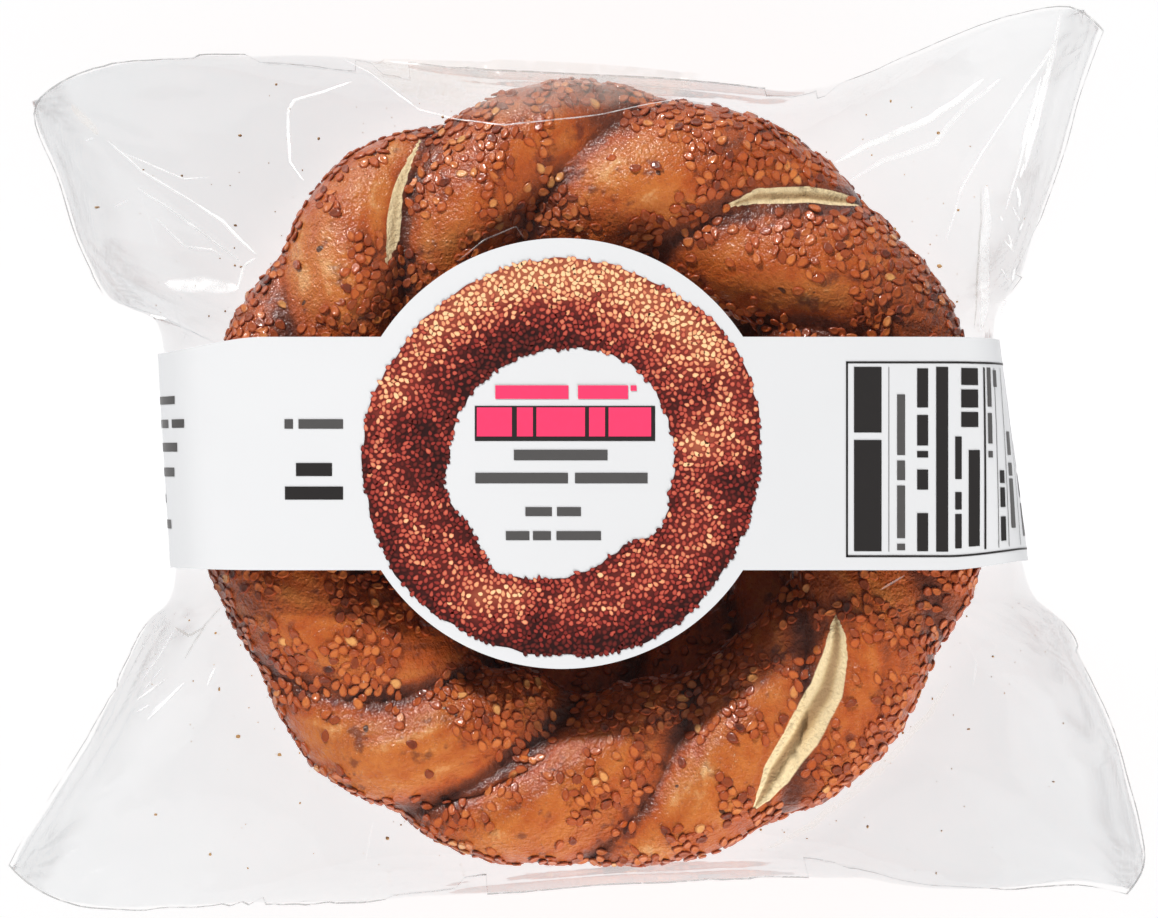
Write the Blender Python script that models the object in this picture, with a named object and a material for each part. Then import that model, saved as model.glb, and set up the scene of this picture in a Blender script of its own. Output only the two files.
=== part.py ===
"""A clear sealed bag of four twisted sesame bread rings, held by a printed band round its waist.

The four rings lie in one stack. The bag is a tube of film that runs along X and is sealed at both ends.
The band pulls each end seal flat against the stack, so that the film stands out only as an ear at each
corner.
The bag and the bread in it are one closed solid, out to the film. The band is a second one.
Units are metres, +Z up. The origin is on the stack's axis, on the surface that the pack lies on.
"""

import bisect
import math

import bmesh
import bpy

# The bread: a two-strand rope closed into a ring, four of them in a stack.
RING_COUNT = 4
RING_MEAN_RADIUS = 0.0615
RING_TUBE_WIDTH = 0.038
RING_TUBE_HEIGHT = 0.027
RING_PITCH = 0.0248

# The film, and its height above and below the stack.
FILM_BOTTOM = 0.0012
FILM_TOP = 0.1036
SHOULDER_START = RING_MEAN_RADIUS + 0.006
TOP_SHOULDER = 0.009
BOTTOM_SHOULDER = 0.012
SEALED_EDGE = 0.0016
FULL_EDGE = 0.050
TENT_ROUNDING = 0.35
WALL_BULGE = 0.0018

# The grooves of the top ring's rope: the angle where each crosses the crown, in degrees.
GROOVE_ANGLES = (-8, 27, 62, 97, 129, 160, 191, 227, 252, 283, 314)
GROOVE_LEAN = 16.0
GROOVE_DEPTH = 0.0042
GROOVE_SHARPNESS = 0.7

# The band round the waist, with a disc in the middle of its front.
BAND_CENTRE_X = -0.0066
BAND_CENTRE_Y = 0.0051
BAND_HALF_WIDTH = 0.0233
BAND_DISC_RADIUS = 0.0430
BAND_THICKNESS = 0.0007
BAND_GAP = 0.0005
BAND_PULL = 0.0245
BAND_RELEASE = 0.0130
LEFT_WALL_X, LEFT_WALL_SLOPE = -0.0860, -0.059
RIGHT_WALL_X, RIGHT_WALL_SLOPE = 0.0836, -0.130

# The bag's edge seen from above, anticlockwise from the band's end: x, y, the edge's own height and how high
# its middle lies. A sealed edge is thin. A fold of the tube opens to nearly the stack's height beside the
# rings.
REAR_EDGE = (
    (0.0885, 0.0425, 0.0320, 0.055),
    (0.0965, 0.0650, 0.0040, 0.058),
    (0.1015, 0.0830, SEALED_EDGE, 0.062),
    (0.1048, 0.0935, SEALED_EDGE, 0.066),
    (0.1012, 0.0972, SEALED_EDGE, 0.066),
    (0.0930, 0.0966, 0.0040, 0.066),
    (0.0781, 0.0921, 0.0120, 0.064),
    (0.0600, 0.0848, 0.0340, 0.060),
    (0.0420, 0.0793, 0.0560, 0.055),
    (0.0190, 0.0812, 0.0680, 0.052),
    (-0.0060, 0.0826, 0.0700, 0.052),
    (-0.0300, 0.0840, 0.0640, 0.052),
    (-0.0550, 0.0870, 0.0440, 0.054),
    (-0.0800, 0.0881, 0.0180, 0.054),
    (-0.1000, 0.0865, 0.0040, 0.054),
    (-0.1125, 0.0828, SEALED_EDGE, 0.054),
    (-0.1184, 0.0775, SEALED_EDGE, 0.054),
    (-0.1130, 0.0660, SEALED_EDGE, 0.054),
    (-0.1068, 0.0480, 0.0050, 0.056),
    (-0.0985, 0.0360, 0.0360, 0.054),
)
NEAR_EDGE = (
    (-0.0935, -0.0310, 0.0340, 0.052),
    (-0.1050, -0.0530, 0.0040, 0.046),
    (-0.1180, -0.0725, SEALED_EDGE, 0.042),
    (-0.1240, -0.0828, SEALED_EDGE, 0.040),
    (-0.1195, -0.0872, SEALED_EDGE, 0.040),
    (-0.1070, -0.0908, 0.0040, 0.040),
    (-0.0830, -0.0898, 0.0120, 0.044),
    (-0.0510, -0.0872, 0.0460, 0.050),
    (-0.0215, -0.0848, 0.0660, 0.052),
    (0.0030, -0.0828, 0.0700, 0.052),
    (0.0220, -0.0818, 0.0700, 0.052),
    (0.0400, -0.0813, 0.0600, 0.052),
    (0.0555, -0.0830, 0.0400, 0.050),
    (0.0700, -0.0857, 0.0200, 0.048),
    (0.0870, -0.0864, 0.0050, 0.045),
    (0.1025, -0.0850, SEALED_EDGE, 0.044),
    (0.1150, -0.0868, SEALED_EDGE, 0.044),
    (0.1164, -0.0810, SEALED_EDGE, 0.044),
    (0.1115, -0.0595, SEALED_EDGE, 0.046),
    (0.1050, -0.0450, 0.0060, 0.050),
    (0.0970, -0.0295, 0.0400, 0.052),
)

# How finely the solids are cut.
EDGE_STEPS = 160
SPAN_STEPS = 24
LEAD_WINDOW = 9
TOP_RADII = (0.0430, 0.0490, 0.0540, 0.0590, 0.0640)
OUTER_STEPS = 5
WALL_STEPS = 7
UNDER_STEPS = 3
UNDER_RADII = (0.0350,)
BAND_ARC_STEPS = 7
BAND_DISC_STEPS = 22
BAND_COLUMNS = 4


def smooth_step(value, low, high):
    """0 below low, 1 above high, and a soft curve between."""
    t = min(1.0, max(0.0, (value - low) / (high - low)))
    return t * t * (3 - 2 * t)


def mix(a, b, share):
    return a + (b - a) * share


def wall_x(side, y):
    """Where the band's pull sets the film's wall, on the right (side 1) or the left (side -1)."""
    if side > 0:
        return RIGHT_WALL_X + RIGHT_WALL_SLOPE * (y - BAND_CENTRE_Y)
    return LEFT_WALL_X + LEFT_WALL_SLOPE * (y - BAND_CENTRE_Y)


def free_of_band(y):
    """0 where the band pulls the film flat, 1 where the film hangs free."""
    return smooth_step(abs(y - BAND_CENTRE_Y), BAND_PULL, BAND_PULL + BAND_RELEASE)


def catmull_rom(p0, p1, p2, p3, t):
    """A point between p1 and p2 on the smooth curve through four points."""
    return tuple(
        0.5 * (2 * b + (c - a) * t + (2 * a - 5 * b + 4 * c - d) * t * t + (3 * b - a - 3 * c + d) * t ** 3)
        for a, b, c, d in zip(p0, p1, p2, p3)
    )


def film_edge():
    """The bag's closed edge as evenly spaced (x, y, height, middle), from the right wall's far end."""
    wall_height = FILM_TOP - TOP_SHOULDER - FILM_BOTTOM - BOTTOM_SHOULDER
    wall_middle = FILM_BOTTOM + BOTTOM_SHOULDER + wall_height / 2
    rear, near = BAND_CENTRE_Y + BAND_PULL, BAND_CENTRE_Y - BAND_PULL
    corners = [(wall_x(side, y), y, wall_height, wall_middle)
               for side, y in ((1, rear), (-1, rear), (-1, near), (1, near))]
    knots = [corners[0], *REAR_EDGE, corners[1], corners[2], *NEAR_EDGE, corners[3]]
    straight = {knots.index(corners[1]), knots.index(corners[3])}
    line = []
    for i, start in enumerate(knots):
        end = knots[(i + 1) % len(knots)]
        before, after = knots[i - 1], knots[(i + 2) % len(knots)]
        for k in range(SPAN_STEPS):
            t = k / SPAN_STEPS
            if i in straight:
                line.append(tuple(mix(a, b, t) for a, b in zip(start, end)))
            else:
                line.append(catmull_rom(before, start, end, after, t))
    line = [(x, y, max(height, SEALED_EDGE), centre) for x, y, height, centre in line]
    return spaced(line, EDGE_STEPS)


def spaced(line, count):
    """A closed line's points taken again at equal steps of length."""
    closed = [*line, line[0]]
    along = [0.0]
    for a, b in zip(closed, closed[1:]):
        along.append(along[-1] + math.hypot(b[0] - a[0], b[1] - a[1]))
    taken = []
    for k in range(count):
        target = along[-1] * k / count
        i = bisect.bisect_right(along, target) - 1
        share = (target - along[i]) / (along[i + 1] - along[i])
        taken.append(tuple(mix(a, b, share) for a, b in zip(closed[i], closed[i + 1])))
    return taken


def film_leads(edge):
    """The angle on the crown that each point of the edge hangs from: its own, evened out along the ears."""
    own = [math.atan2(edge[0][1], edge[0][0])]
    for before, after in zip(edge, [*edge[1:], edge[0]]):
        (x0, y0), (x1, y1) = before[:2], after[:2]
        own.append(own[-1] + math.atan2(x0 * y1 - y0 * x1, x0 * x1 + y0 * y1))
    count = len(edge)
    near = range(-LEAD_WINDOW, LEAD_WINDOW + 1)
    return [
        sum(own[(k + d) % count] + 2 * math.pi * ((k + d) // count) for d in near) / len(near)
        for k in range(count)
    ]


def rope_turns(angle, radius):
    """How many strands of the top ring's rope have gone by, counted along the ring: whole at each groove."""
    lean = GROOVE_LEAN * (radius - RING_MEAN_RADIUS) / (RING_TUBE_WIDTH / 2)
    first = GROOVE_ANGLES[0]
    at = (math.degrees(angle) + lean - first) % 360 + first
    knots = [*GROOVE_ANGLES, first + 360]
    i = min(bisect.bisect_right(knots, at) - 1, len(knots) - 2)
    return i + (at - knots[i]) / (knots[i + 1] - knots[i])


def rope_relief(x, y):
    """How far the film sinks into the top ring's grooves."""
    radius = math.hypot(x, y)
    crown = smooth_step(radius, 0.046, 0.053) * (1 - smooth_step(radius, 0.074, 0.088))
    off_disc = math.hypot(x - BAND_CENTRE_X, y - BAND_CENTRE_Y) - BAND_DISC_RADIUS
    open_film = free_of_band(y) * smooth_step(off_disc, 0.001, 0.006)
    strand = abs(math.sin(math.pi * rope_turns(math.atan2(y, x), radius))) ** GROOVE_SHARPNESS
    return GROOVE_DEPTH * (1 - strand) * crown * open_film


def fall(share, edge_height):
    """The film's drop from the shoulder to the edge: a round corner above a wall, a tent at an ear."""
    box = smooth_step(edge_height, SEALED_EDGE, FULL_EDGE)
    corner = 1 - math.sqrt(max(0.0, 1 - share * share))
    tent = math.sqrt(share * share + TENT_ROUNDING ** 2) - TENT_ROUNDING
    return mix(tent / (math.sqrt(1 + TENT_ROUNDING ** 2) - TENT_ROUNDING), corner, box)


def under_band(x, y, shoulder):
    """The drop of the film's round corner under the band, 0 on the flat and 1 at the wall."""
    side = 1 if x > 0 else -1
    share = (abs(x) - abs(wall_x(side, y)) + shoulder) / shoulder
    return 1 - math.sqrt(1 - min(1.0, max(0.0, share)) ** 2)


def film_section(edge_point, lead):
    """The film's points from the crown over the shoulder, down the edge and in below the stack."""
    edge_x, edge_y, edge_height, middle = edge_point
    ux, uy = math.cos(lead), math.sin(lead)
    start_x, start_y = SHOULDER_START * ux, SHOULDER_START * uy

    def top_point(x, y, share):
        loose = mix(FILM_TOP, middle + edge_height / 2, fall(share, edge_height)) - rope_relief(x, y)
        held = FILM_TOP - TOP_SHOULDER * under_band(x, y, TOP_SHOULDER)
        return x, y, mix(held, loose, free_of_band(y))

    def under_point(x, y, share):
        loose = mix(FILM_BOTTOM, middle - edge_height / 2, fall(share, edge_height))
        held = FILM_BOTTOM + BOTTOM_SHOULDER * under_band(x, y, BOTTOM_SHOULDER)
        return x, y, mix(held, loose, free_of_band(y))

    def reach(steps):
        shares = [math.sin(math.pi / 2 * k / steps) for k in range(steps + 1)]
        return [(mix(start_x, edge_x, share), mix(start_y, edge_y, share), share) for share in shares]

    over = [top_point(ux * r, uy * r, 0.0) for r in TOP_RADII]
    over += [top_point(*p) for p in reach(OUTER_STEPS)]
    below = [under_point(*p) for p in reversed(reach(UNDER_STEPS))]
    below += [under_point(ux * r, uy * r, 0.0) for r in UNDER_RADII]
    high, low = over[-1][2], below[0][2]
    wall = []
    for k in range(1, WALL_STEPS):
        z = mix(high, low, k / WALL_STEPS)
        between = 0.5 - 0.5 * math.cos(2 * math.pi * (z - FILM_BOTTOM - RING_TUBE_HEIGHT / 2) / RING_PITCH)
        inset = WALL_BULGE * between * free_of_band(edge_y) * smooth_step(edge_height, SEALED_EDGE, FULL_EDGE)
        inward = 1 - inset / math.hypot(edge_x, edge_y)
        wall.append((edge_x * inward, edge_y * inward, z))
    return over + wall + below


def finish_object(name, mesh_builder, colour, roughness, alpha=1.0):
    """A smooth-shaded object from a bmesh, with its own material."""
    mesh = bpy.data.meshes.new(name)
    bmesh.ops.recalc_face_normals(mesh_builder, faces=mesh_builder.faces)
    mesh_builder.to_mesh(mesh)
    mesh_builder.free()
    mesh.shade_smooth()
    mesh.set_sharp_from_angle(angle=math.radians(40))
    material = bpy.data.materials.new(name)
    material.use_nodes = True
    shader = material.node_tree.nodes["Principled BSDF"]
    shader.inputs["Base Color"].default_value = (*colour, 1.0)
    shader.inputs["Roughness"].default_value = roughness
    shader.inputs["Alpha"].default_value = alpha
    mesh.materials.append(material)
    made = bpy.data.objects.new(name, mesh)
    bpy.context.scene.collection.objects.link(made)
    return made


def make_bag():
    """The film's outer shape as one closed solid: a loop of sections round the stack's axis."""
    builder = bmesh.new()
    edge = film_edge()
    sections = [
        [builder.verts.new(p) for p in film_section(at, lead)] for at, lead in zip(edge, film_leads(edge))
    ]
    top_hub = builder.verts.new((0.0, 0.0, FILM_TOP))
    under_hub = builder.verts.new((0.0, 0.0, FILM_BOTTOM))
    for here, there in zip(sections, [*sections[1:], sections[0]]):
        builder.faces.new((top_hub, here[0], there[0]))
        for k in range(len(here) - 1):
            builder.faces.new((here[k], here[k + 1], there[k + 1], there[k]))
        builder.faces.new((here[-1], under_hub, there[-1]))
    return finish_object("clear_bag_of_simits", builder, (0.72, 0.42, 0.20), 0.3)


def band_stations():
    """The band's stations in order round the pack: (place, half width). A place gives x, z at a given y."""
    lift = BAND_GAP

    def corner(side, angle, over):
        shoulder = TOP_SHOULDER if over else BOTTOM_SHOULDER
        level = FILM_TOP - shoulder if over else FILM_BOTTOM + shoulder

        def place(y):
            centre = wall_x(side, y) - side * shoulder
            x = centre + side * (shoulder + lift) * math.sin(angle)
            rise = (shoulder + lift) * math.cos(angle)
            return x, level + rise if over else level - rise

        return place, BAND_HALF_WIDTH

    def flat(x, half_width):
        return (lambda y: (x, FILM_TOP + lift)), half_width

    angles = [math.pi / 2 * k / BAND_ARC_STEPS for k in range(BAND_ARC_STEPS + 1)]
    widest = math.acos(BAND_HALF_WIDTH / BAND_DISC_RADIUS)
    disc = []
    for k in range(BAND_DISC_STEPS + 1):
        a = mix(-widest, widest, k / BAND_DISC_STEPS)
        disc.append(flat(BAND_CENTRE_X - BAND_DISC_RADIUS * math.sin(a), BAND_DISC_RADIUS * math.cos(a)))
    right = [corner(1, a, False) for a in angles] + [corner(1, a, True) for a in reversed(angles)]
    left = [corner(-1, a, True) for a in angles] + [corner(-1, a, False) for a in reversed(angles)]
    return right + disc + left


def make_band():
    """The printed band: one thin closed loop round the waist, widened to a disc on the front."""
    builder = bmesh.new()
    rows = []
    for place, half_width in band_stations():
        row = []
        for c in range(BAND_COLUMNS + 1):
            y = BAND_CENTRE_Y + half_width * (2 * c / BAND_COLUMNS - 1)
            x, z = place(y)
            row.append(builder.verts.new((x, y, z)))
        rows.append(row)
    for here, there in zip(rows, [*rows[1:], rows[0]]):
        for c in range(BAND_COLUMNS):
            builder.faces.new((here[c], here[c + 1], there[c + 1], there[c]))
    band = finish_object("printed_band", builder, (0.90, 0.91, 0.93), 0.45)
    solid = band.modifiers.new("paper", "SOLIDIFY")
    solid.thickness = BAND_THICKNESS
    solid.offset = 1.0
    return band


def main():
    for old in list(bpy.data.objects):
        bpy.data.objects.remove(old)
    make_bag()
    make_band()


main()
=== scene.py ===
"""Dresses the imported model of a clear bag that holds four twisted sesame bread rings.

The closed solid of the bag is replaced by its film and by what lies in it: a stack of four two-strand rope
rings, their sesame seeds and a few loose crumbs. The solid of the band is replaced by a thin printed sleeve.
Lengths are in metres and angles in degrees unless a name says otherwise.
"""

import itertools
import logging
import math
from collections.abc import Iterator
from dataclasses import dataclass, field
from enum import Enum
from typing import ClassVar

import bmesh
import bpy
import numpy as np
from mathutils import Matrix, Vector
from mathutils.bvhtree import BVHTree


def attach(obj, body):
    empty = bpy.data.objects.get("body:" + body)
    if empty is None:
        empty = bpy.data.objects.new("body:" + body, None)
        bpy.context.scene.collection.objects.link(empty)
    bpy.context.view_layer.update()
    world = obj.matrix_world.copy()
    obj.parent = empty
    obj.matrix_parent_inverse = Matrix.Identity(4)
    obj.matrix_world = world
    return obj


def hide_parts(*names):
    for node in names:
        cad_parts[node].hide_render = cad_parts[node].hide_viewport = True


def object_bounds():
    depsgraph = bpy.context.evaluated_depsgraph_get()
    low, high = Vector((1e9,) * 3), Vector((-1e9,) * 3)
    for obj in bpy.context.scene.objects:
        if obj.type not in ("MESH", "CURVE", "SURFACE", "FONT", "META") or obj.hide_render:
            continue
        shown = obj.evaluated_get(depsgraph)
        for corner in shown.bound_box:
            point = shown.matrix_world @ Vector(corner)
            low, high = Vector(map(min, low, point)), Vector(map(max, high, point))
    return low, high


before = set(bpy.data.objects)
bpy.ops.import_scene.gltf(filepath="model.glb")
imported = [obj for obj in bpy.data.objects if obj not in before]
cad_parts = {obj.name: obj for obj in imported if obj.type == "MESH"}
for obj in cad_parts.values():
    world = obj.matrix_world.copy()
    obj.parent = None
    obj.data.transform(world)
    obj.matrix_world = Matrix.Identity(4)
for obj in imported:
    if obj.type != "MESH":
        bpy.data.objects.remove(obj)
CAD_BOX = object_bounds()

BODY = "root"
BAG_NODE = "clear_bag_of_simits"
BAND_NODE = "printed_band"
LOG = logging.getLogger("bagged_rings")

TENTHS_IN_METRE = 10000
HIGH_ABOVE = 0.2

Triple = tuple[float, float, float]
Colour = Triple
Line = tuple[tuple[float, ...], ...]
Strip = tuple[list[Triple], list[float], int]
Socket = bpy.types.NodeSocket


def tenths(*numbers: int, size: int = 2) -> Line:
    """Groups tenths of a millimetre into places in metres, with so many numbers each."""
    return tuple(
        tuple(n / TENTHS_IN_METRE for n in numbers[k:k + size]) for k in range(0, len(numbers), size))


def smooth_step(value: np.ndarray, low: float, high: float) -> np.ndarray:
    """Rises softly from 0 to 1.

    Args:
        value: the numbers to shape.
        low: where the rise starts.
        high: where it ends, which may lie below low for a fall.

    Returns:
        The shaped numbers.
    """
    share = np.clip((value - low) / (high - low), 0.0, 1.0)
    return share * share * (3 - 2 * share)


def mix(low: np.ndarray, high: np.ndarray, share: np.ndarray) -> np.ndarray:
    """Goes from low to high as share goes from 0 to 1."""
    return low + (high - low) * share


def cos_sin(degrees: np.ndarray) -> tuple[np.ndarray, np.ndarray]:
    """Gives the cosine and the sine of angles in degrees."""
    return np.cos(np.radians(degrees)), np.sin(np.radians(degrees))


def unit(vectors: np.ndarray) -> np.ndarray:
    """Brings vectors to length 1."""
    return vectors / np.linalg.norm(vectors, axis=-1, keepdims=True)


def search_tree(piece: bpy.types.Object) -> BVHTree:
    """Prepares a piece's faces for finding where a line meets them."""
    return BVHTree.FromPolygons([v.co for v in piece.data.vertices], [p.vertices[:] for p in piece.data.polygons])


def top_of(tree: BVHTree, x: float, y: float) -> float | None:
    """Finds the height of what a plumb line from high above meets first."""
    hit = tree.ray_cast(Vector((x, y, HIGH_ABOVE)), Vector((0, 0, -1)))[0]
    return None if hit is None else hit.z


def segments(line: Line, x: np.ndarray, y: np.ndarray) -> Iterator[tuple[np.ndarray, np.ndarray, np.ndarray]]:
    """Measures places against each segment of a line.

    Args:
        line: the line's places, of which the first two numbers are x and y.
        x: the places to measure.
        y: the same.

    Yields:
        For each segment the share of the way along it, the distance from it, and the distance to its right.
    """
    for (ax, ay, *_), (bx, by, *_) in zip(line, line[1:]):
        dx, dy = bx - ax, by - ay
        share = np.clip(((x - ax) * dx + (y - ay) * dy) / (dx * dx + dy * dy), 0, 1)
        side = ((x - ax) * dy - (y - ay) * dx) / math.hypot(dx, dy)
        yield share, np.hypot(x - ax - share * dx, y - ay - share * dy), side


class Grain:
    """Smooth random values that fill space and come out the same on every run."""

    LATTICE = 32

    def __init__(self, seed: int) -> None:
        """Fills the lattice from a seed."""
        self.values = np.random.default_rng(seed).uniform(-1, 1, (self.LATTICE,) * 3)

    def at(self, points: np.ndarray, size: float) -> np.ndarray:
        """Reads the values at some points.

        Args:
            points: an array whose last axis is x, y, z.
            size: how far apart the ups and downs are.

        Returns:
            One value from -1 to 1 for each point.
        """
        cell = points / size
        base = np.floor(cell).astype(int)
        share = cell - base
        share = share * share * (3 - 2 * share)
        total = np.zeros(points.shape[:-1])
        for corner in itertools.product((0, 1), repeat=3):
            weight = np.prod(np.where(np.array(corner) == 1, share, 1 - share), axis=-1)
            ix, iy, iz = np.moveaxis((base + corner) % self.LATTICE, -1, 0)
            total += weight * self.values[ix, iy, iz]
        return total

    def layers(self, points: np.ndarray, size: float, count: int = 3) -> np.ndarray:
        """Adds finer and weaker copies of the values.

        Args:
            points: an array whose last axis is x, y, z.
            size: the coarsest spacing.
            count: how many layers, each half as large and half as strong as the last.

        Returns:
            One value for each point, mostly from -1 to 1.
        """
        return sum(self.at(points + 0.37 * k, size / 2**k) / 2**k for k in range(count))


class Recipe:
    """Builds one material's nodes in short calls."""

    def __init__(self, name: str) -> None:
        """Starts an empty material."""
        self.material = bpy.data.materials.new(name)
        self.material.use_nodes = True
        self.nodes = self.material.node_tree.nodes
        self.links = self.material.node_tree.links
        self.nodes.clear()
        self.place = self.add("ShaderNodeTexCoord").outputs["Object"]

    def add(self, kind: str, inputs: dict | None = None, **settings: object) -> bpy.types.Node:
        """Adds a node.

        Args:
            kind: the node's type name.
            inputs: what goes into its sockets, by name or number: a plain value or another node's socket.
            settings: the node's own settings.

        Returns:
            The new node.
        """
        node = self.nodes.new(kind)
        for key, value in settings.items():
            setattr(node, key, value)
        for key, value in (inputs or {}).items():
            if isinstance(value, Socket):
                self.links.new(value, node.inputs[key])
            else:
                node.inputs[key].default_value = value
        return node

    def attribute(self, name: str) -> Socket:
        """Reads a value that the mesh carries."""
        return self.add("ShaderNodeAttribute", attribute_name=name).outputs["Fac"]

    def noise(self, size: float, detail: float = 3.0, stretch: Triple = (1, 1, 1)) -> Socket:
        """Adds cloudy values from 0 to 1 in space.

        Args:
            size: the spacing of the largest clouds.
            detail: how many finer layers there are.
            stretch: how much closer the clouds lie along each axis.

        Returns:
            The socket with the values.
        """
        scaled = self.add("ShaderNodeMapping", {"Vector": self.place, "Scale": tuple(s / size for s in stretch)})
        return self.add(
            "ShaderNodeTexNoise", {"Vector": scaled.outputs[0], "Scale": 1.0, "Detail": detail}
        ).outputs["Fac"]

    def math(self, operation: str, first: float | Socket, second: float | Socket = 0.0) -> Socket:
        """Combines two numbers."""
        return self.add("ShaderNodeMath", {0: first, 1: second}, operation=operation).outputs[0]

    def weighted(self, start: float, terms: list[tuple[Socket, float]]) -> Socket:
        """Adds weighted values to a start.

        Args:
            start: the value where every term is nought.
            terms: pairs of a socket and its weight.

        Returns:
            The socket with the sum.
        """
        total = start
        for socket, weight in terms:
            total = self.add("ShaderNodeMath", {0: socket, 1: weight, 2: total}, operation="MULTIPLY_ADD").outputs[0]
        return total

    def band(self, value: Socket, low: float, high: float, to_low: float = 0.0, to_high: float = 1.0) -> Socket:
        """Maps a stretch of values softly onto another, held at both ends."""
        node = self.add(
            "ShaderNodeMapRange",
            {"Value": value, "From Min": low, "From Max": high, "To Min": to_low, "To Max": to_high},
            interpolation_type="SMOOTHSTEP",
        )
        return node.outputs["Result"]

    def ramp(self, value: Socket, stops: list[tuple[float, Colour]]) -> Socket:
        """Turns a value into a colour.

        Args:
            value: the socket with values from 0 to 1.
            stops: places along the ramp with their colours.

        Returns:
            The colour socket.
        """
        node = self.add("ShaderNodeValToRGB", {"Fac": value})
        marks = node.color_ramp.elements
        while len(marks) < len(stops):
            marks.new(1.0)
        for mark, (place, colour) in zip(marks, stops):
            mark.position = place
            mark.color = (*colour, 1.0)
        return node.outputs["Color"]

    def blend(self, share: float | Socket, low: Colour | Socket, high: Colour | Socket) -> Socket:
        """Mixes two colours."""
        low, high = (c if isinstance(c, Socket) else (*c, 1.0) for c in (low, high))
        node = self.add("ShaderNodeMix", {0: share, 6: low, 7: high}, data_type="RGBA")
        return node.outputs[2]

    def bump(self, height: Socket, depth: float, normal: Socket | None = None) -> Socket:
        """Adds fine relief.

        Args:
            height: the socket with heights from 0 to 1.
            depth: how far 1 stands above 0.
            normal: relief to add to.

        Returns:
            The normal socket.
        """
        inputs = {"Height": height, "Strength": 1.0, "Distance": depth}
        if normal is not None:
            inputs["Normal"] = normal
        return self.add("ShaderNodeBump", inputs).outputs["Normal"]

    def shader(self, kind: str, inputs: dict) -> Socket:
        """Adds a shader node and gives its output."""
        return self.add(f"ShaderNode{kind}", inputs).outputs[0]

    def finish(self, shader: Socket) -> bpy.types.Material:
        """Ends the material in a shader's output."""
        self.add("ShaderNodeOutputMaterial", {"Surface": shader})
        return self.material


@dataclass(frozen=True)
class CrustFinish:
    """The browned, glazed crust, with its pale splits."""

    toast: tuple[tuple[float, Colour], ...] = (
        (0.0, (0.060, 0.012, 0.006)),
        (0.25, (0.170, 0.036, 0.012)),
        (0.50, (0.440, 0.082, 0.012)),
        (0.78, (0.570, 0.168, 0.032)),
        (1.0, (0.800, 0.440, 0.185)),
    )
    stain: Colour = (0.110, 0.020, 0.012)
    coat: float = 0.62
    coat_roughness: float = 0.11
    char: Colour = (0.020, 0.009, 0.007)
    crumb: Colour = (0.900, 0.720, 0.430)
    crumb_heart_and_shade: Colour = (0.330, 0.190, 0.090)
    crumb_olive: Colour = (0.560, 0.390, 0.200)

    def material(self) -> bpy.types.Material:
        """Builds the crust."""
        make = Recipe("glazed_crust")
        clouds, patches, specks = make.noise(0.011, 2), make.noise(0.0032, 4), make.noise(0.0008, 3)
        # The golden lift on bare patches is partly the crust's own colour and partly a painted highlight.
        gold, valley, crumb, heart, streak = (
            make.attribute(n) for n in ("gold", "valley", "crumb", "heart", "streak"))
        # The heat falls in the grooves between strands: painted shade where the strands meet.
        heat = make.weighted(
            0.00, [(gold, 0.32), (clouds, 0.38), (patches, 0.40), (specks, 0.16), (valley, -0.42), (streak, 0.12)]
        )
        crust = make.ramp(heat, list(self.toast))
        stained = make.math("MULTIPLY", make.band(make.noise(0.0042, 4), 0.58, 0.70), 0.66)
        crust = make.blend(stained, crust, self.stain)
        crust = make.blend(make.band(make.noise(0.0030, 0), 0.81, 0.84, 0.0, 0.85), crust, self.char)
        # The crumb darkens towards the middle of an opening: partly its own toasted colour and partly painted shade
        # in the opening.
        inside = make.ramp(heart, [(0.0, self.crumb), (0.55, self.crumb_olive), (1.0, self.crumb_heart_and_shade)])
        inside = make.blend(make.band(specks, 0.40, 0.75, 0.0, 0.18), inside, self.crumb_heart_and_shade)
        colour = make.blend(make.band(crumb, 0.35, 0.65), crust, inside)
        wrinkles = make.noise(0.0016, 3, (1.0, 1.0, 2.2))
        relief = make.bump(wrinkles, 0.00036)
        relief = make.bump(make.noise(0.00050, 1), 0.00016, make.bump(specks, 0.00038, relief))
        return make.finish(make.shader("BsdfPrincipled", {
            "Base Color": colour,
            "Roughness": make.weighted(0.24, [(patches, 0.22), (crumb, 0.45)]),
            "Specular IOR Level": 0.35,
            "Coat Weight": make.math("SUBTRACT", self.coat, make.math("MULTIPLY", crumb, self.coat)),
            "Coat Roughness": self.coat_roughness,
            "Normal": relief,
            "Coat Normal": relief,
        }))


@dataclass(frozen=True)
class SeedFinish:
    """Roasted sesame seeds, darker at the rim: partly the seed's own colour and partly painted shade where it meets
    the crust.
    """

    hull: tuple[tuple[float, Colour], ...] = (
        (0.0, (0.070, 0.018, 0.010)),
        (0.12, (0.170, 0.036, 0.016)),
        (0.55, (0.500, 0.102, 0.022)),
        (0.88, (0.660, 0.198, 0.048)),
        (1.0, (0.780, 0.370, 0.120)),
    )
    rim: Colour = (0.300, 0.042, 0.012)
    coat: float = 0.66
    coat_roughness: float = 0.11

    def material(self) -> bpy.types.Material:
        """Builds the seeds' skin."""
        make = Recipe("roasted_sesame")
        tone, rim = make.attribute("tone"), make.attribute("rim")
        mottled = make.weighted(-0.10, [(tone, 1.0), (make.noise(0.0011, 2), 0.20)])
        hull = make.ramp(mottled, list(self.hull))
        # The dark rim is partly the seed's own colour and partly painted shade where the seed meets the crust.
        colour = make.blend(make.math("MULTIPLY", rim, 0.60), hull, self.rim)
        relief = make.bump(make.noise(0.0006, 1), 0.00010)
        return make.finish(make.shader("BsdfPrincipled", {
            "Base Color": colour,
            "Roughness": 0.34,
            "Specular IOR Level": 0.30,
            "Coat Weight": self.coat,
            "Coat Roughness": self.coat_roughness,
            "Normal": relief,
            "Coat Normal": relief,
        }))


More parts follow.
